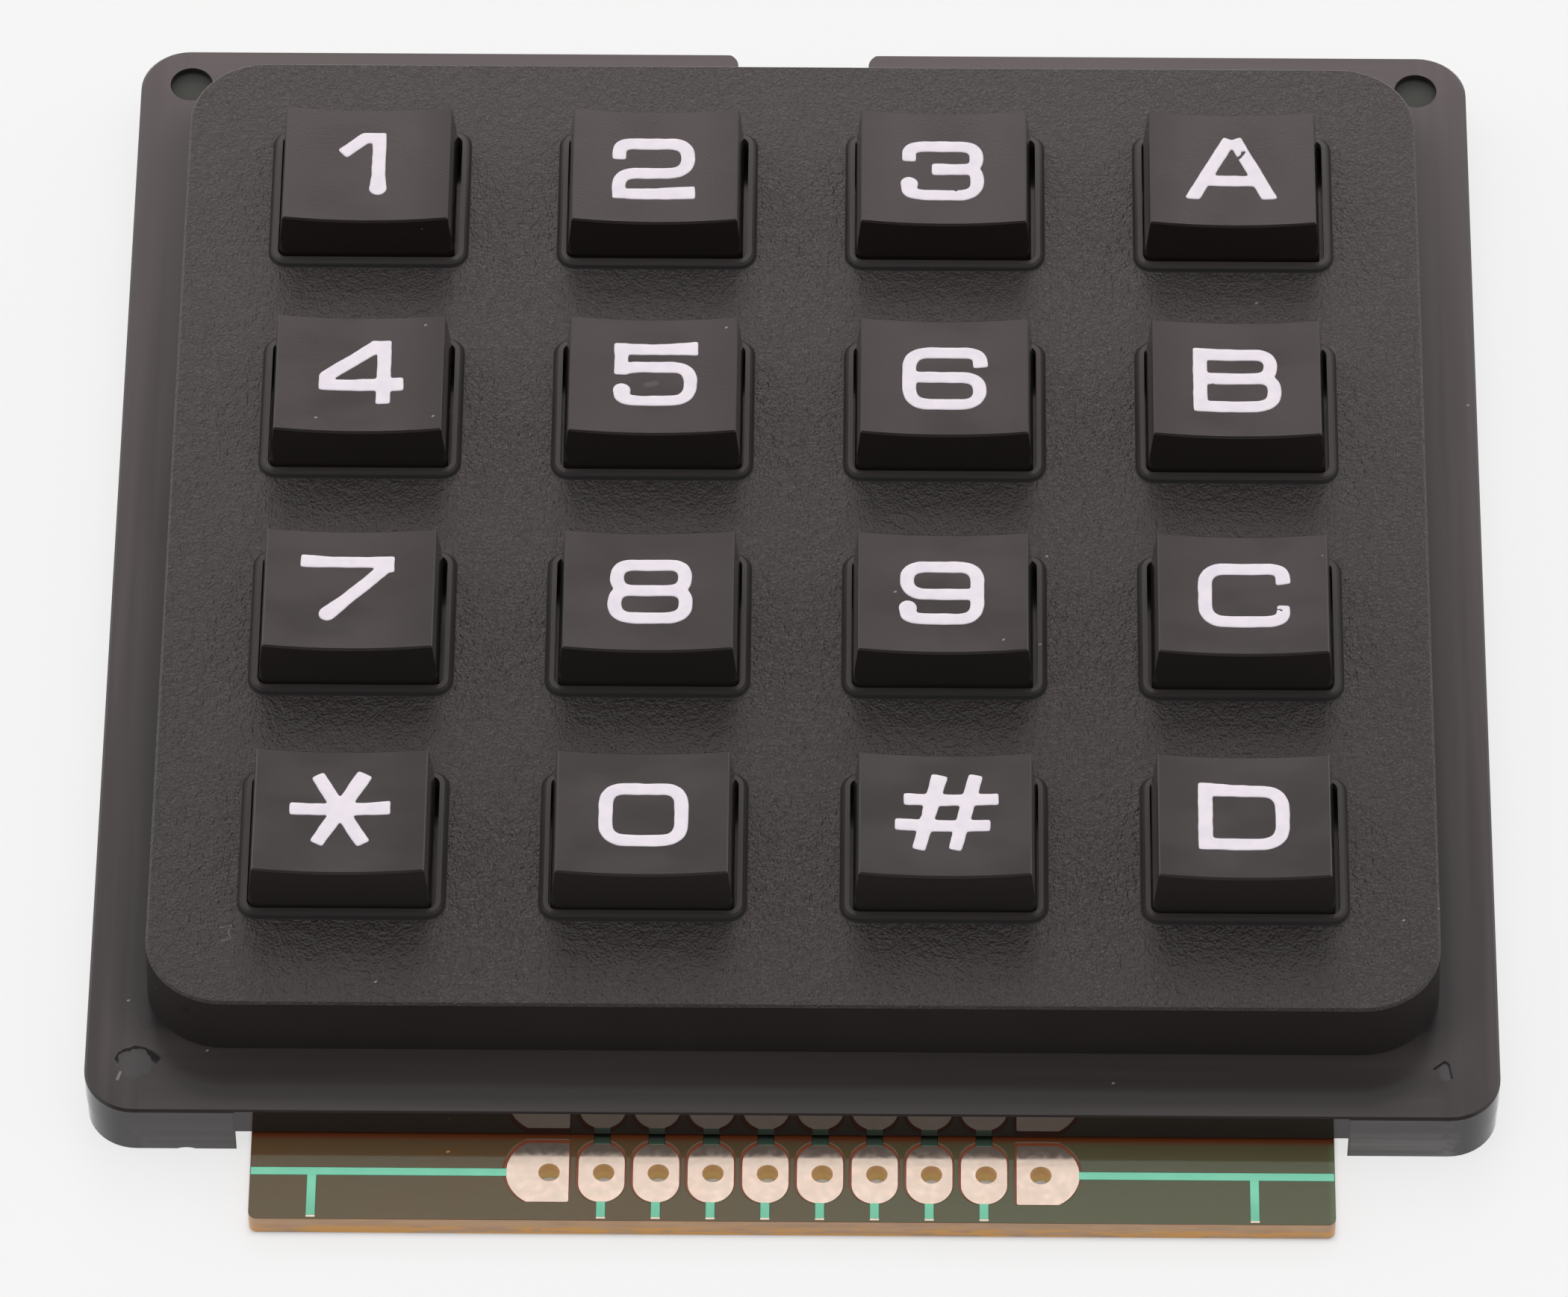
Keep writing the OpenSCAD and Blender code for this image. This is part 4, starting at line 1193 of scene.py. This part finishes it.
def mask_stretch(i):
    """Rings from the pad's window, over a soft edge, to the border of its stretch."""
    end = {0: -1, PADS - 1: 1}.get(i, 0)
    middle = np.array([pad_places[i], pad_line])
    window = middle + WINDOW_SHIFT
    left = TONGUE_LEFT + MASK_BORDER if end < 0 else middle[0] - PAD_PITCH / 2
    right = TONGUE_RIGHT - MASK_BORDER if end > 0 else middle[0] + PAD_PITCH / 2
    border = stretch_outline(left, right, end)
    ray = border - window
    far = np.linalg.norm(ray, axis=1)
    ray = ray / far[:, None]
    near = pad_reach(ray[:, 0], ray[:, 1], end) + WINDOW_GAP
    rings = [window + ray * reach[:, None] for reach in (near, near + MASK_EDGE)] + [border]
    heights = [mask_z - MASK_THICK * 0.5, mask_z, mask_z]
    points = np.concatenate([np.column_stack([ring, np.full(len(ring), z)])
                             for ring, z in zip(rings, heights)])
    return points, grid_cells(3, len(border), wrap=True)


def join(parts):
    """Several nets in one, with the later ones' corner numbers moved up."""
    starts = np.cumsum([0] + [len(points) for points, _ in parts])
    return (np.concatenate([points for points, _ in parts]),
            np.concatenate([cells + start for (_, cells), start in zip(parts, starts)]))


def mask_finish():
    """Glossy lacquer over cloudy laminate: brown on the left, olive on the right, greener along the
    right rim, with painted shade under the housing's wall."""
    f = Finish("mask_over_laminate")
    cloud = f.noise(6 * MM, 3.0)
    weave = f.noise(0.35 * MM, 2.0, f.stretch(0.5, 1, 1))
    colour = f.mix(f.ramp(cloud, 0.35, 0.65), LAMINATE_RED, LAMINATE_BROWN)
    colour = f.mix(f.ramp(f.x, -9 * MM, 12 * MM), colour, LAMINATE_OLIVE)
    rim = f.ramp(f.x, TONGUE_RIGHT - 0.4 * MM, TONGUE_RIGHT - 0.02 * MM, 0.0, 0.5)
    colour = f.mix(rim, colour, RIM_GREEN)
    colour = f.mix(f.specks(3.5 * MM, 0.05 * MM, 0.1), colour, MASK_SPECK)
    # Painted shade: darker red-brown just in front of the housing's wall and under it.
    colour = f.mix(f.ramp(f.y, wall_front - 0.4 * MM, wall_front), colour, WALL_PAINTED_SHADE)
    colour = dust(f, colour, MASK_FLECK, FLECK_ORANGE, 0.1)
    return f.finish(Base_Color=colour, Roughness=0.1, IOR=1.7, Specular_Tint=MASK_TINT,
                    Normal=f.bump(weave, 0.0012 * MM))


points, cells = merge_points(*join([mask_stretch(i) for i in range(PADS)]))
points, cells = close_sheet(points, cells, MASK_THICK)
make_piece("mask_sheet", points, cells, mask_finish(), "base", smooth=False)

# %% [markdown]
# Where the lacquer runs over a track it rises with the copper. The sheet itself could be lifted
# there, but its cells fan out from the pads and would tear across a track. So each raised run is a
# low ridge of its own: a profile with sloping flanks, carried straight along the track.

# %% Mask ridges
RIDGE_RISE = 0.02 * MM
RIDGE_FLANK = 0.015 * MM
RIDGE_LAP = 0.03 * MM
RIDGE_LIFT = 0.002 * MM
RIDGE_STEPS = 9
RIDGE_PROFILE = (0, 0.7, 1, 1, 1, 0.7, 0)
TRACK_END = 0.2 * MM
TRACK_TEAL = (0.18, 0.55, 0.38)
TRACK_PALE = (0.20, 0.58, 0.40)
TRACK_DARK = (0.14, 0.42, 0.28)
NECK_PAINTED_SHADE = (0.20, 0.24, 0.18)


def ridge(start, end, width):
    """A net along a track: seven points across, which rise over a flank, run level and fall."""
    start, end = np.array(start), np.array(end)
    run = (end - start) / np.linalg.norm(end - start)
    across = np.array([-run[1], run[0]])
    half = width / 2 + RIDGE_FLANK
    offset = np.array([-half, -half + RIDGE_FLANK, -half + 2 * RIDGE_FLANK, 0,
                       half - 2 * RIDGE_FLANK, half - RIDGE_FLANK, half])
    rise = RIDGE_RISE * np.array(RIDGE_PROFILE)
    line = start + (end - start) * np.linspace(0, 1, RIDGE_STEPS)[:, None]
    plan = line[:, None, :] - across * offset[None, :, None]
    height = np.broadcast_to(mask_z + RIDGE_LIFT + rise, plan.shape[:2])
    points = np.concatenate([plan, height[..., None]], -1).reshape(-1, 3)
    return points, grid_cells(RIDGE_STEPS, len(RIDGE_PROFILE))


def track_runs():
    """Start, end and width of each track that the lacquer covers."""
    front = tongue_front + TRACK_END
    clear = PAD_LENGTH / 2 - RIDGE_LAP
    runs = []
    for x in pad_places[1:-1]:
        runs.append(((x, pad_line - clear), (x, front), TRACK_WIDTH))
        runs.append(((x, pad_line + clear), (x, mask_back), SIGNAL_WIDTH))
    outer = END_PAD_RADIUS - RIDGE_LAP
    for first, last in ((pad_places[0] - outer, TONGUE_LEFT + MASK_EDGE),
                        (pad_places[-1] + outer, TONGUE_RIGHT - MASK_EDGE)):
        runs.append(((first, pad_line), (last, pad_line), TRACK_WIDTH))
    for x in BRANCHES:
        runs.append(((x, pad_line - TRACK_WIDTH / 2), (x, front), TRACK_WIDTH))
    return runs


def ridge_finish():
    """Metal seen through green: darker towards the front, with painted shade greying the necks
    behind the pads.
    """
    f = Finish("mask_over_copper")
    cloud = f.noise(1.5 * MM, 3.0)
    colour = f.mix(f.ramp(cloud, 0.3, 0.7), TRACK_TEAL, TRACK_PALE)
    front = f.ramp(f.y, tongue_front + 0.4 * MM, pad_line - 0.6 * MM, 0.8, 0.0)
    colour = f.mix(front, colour, TRACK_DARK)
    neck = f.ramp(f.y, pad_line + 1.4 * MM, pad_line + 1.9 * MM, 0.0, 0.85)
    # Painted shade: the necks behind the pads, in the shadow under the flange, are painted grey.
    colour = f.mix(neck, colour, NECK_PAINTED_SHADE)
    return f.finish(Base_Color=colour, Metallic=1.0, Roughness=0.3)


points, cells = join([close_sheet(*ridge(*run), MASK_THICK) for run in track_runs()])
make_piece("mask_tracks", points, cells, ridge_finish(), "base", smooth=False)

# %% [markdown]
# The table is a plain pale sheet, which lights the keypad from below as the real one did. Seen by
# the camera it is mixed with the white of the tent, so that only a faint shadow stays on it, and
# in reflections it is as white as the tent. Under the housing and the tongue it stays dark. A
# shadow catcher would keep the shadow too, but reflections in the black walls need a table that is
# there.

# %% Table
FLOOR_HALF = 1.5
FLOOR_TONE = 0.9
FLOOR_ROUGH = 0.8
SHADOW_LIFT = 0.75
SHADE_UNDER = 0.82
SHADE_SOFT = 0.3 * MM

corner = FLOOR_HALF * np.array([[-1, -1], [1, -1], [1, 1], [-1, 1]])
floor_mesh = bpy.data.meshes.new("floor")
floor_mesh.from_pydata([(x, y, cad_low[2]) for x, y in corner], [], [(0, 1, 2, 3)])
floor = bpy.data.objects.new("floor", floor_mesh)
bpy.context.scene.collection.objects.link(floor)
table = Finish("white_table")
paper = table.finish(Base_Color=(FLOOR_TONE,) * 3, Roughness=FLOOR_ROUGH)
glow = table.put("ShaderNodeEmission", {"Color": (TENT_SEEN,) * 3})
rays = table.put("ShaderNodeLightPath")
lift = table.math("MAXIMUM", table.math("MULTIPLY", rays.outputs["Is Camera Ray"], SHADOW_LIFT),
                  rays.outputs["Is Glossy Ray"])
covered = table.math("MULTIPLY",
                     table.between(table.x, TONGUE_LEFT, TONGUE_RIGHT, SHADE_SOFT),
                     table.between(table.y, tongue_front, housing_high.y, SHADE_SOFT))
open_part = table.math("SUBTRACT", 1.0, table.math("MULTIPLY", covered, SHADE_UNDER))
lift = table.math("MULTIPLY", lift, open_part)
lift = table.put("ShaderNodeMixShader", {0: lift, 1: table.shader.outputs[0], 2: glow.outputs[0]})
table.feed(table.tree.nodes["Material Output"].inputs["Surface"], lift.outputs[0])
floor_mesh.materials.append(paper)
print("table is", 2 * FLOOR_HALF, "m wide, at a height of", round(cad_low[2] / MM, 2), "mm")
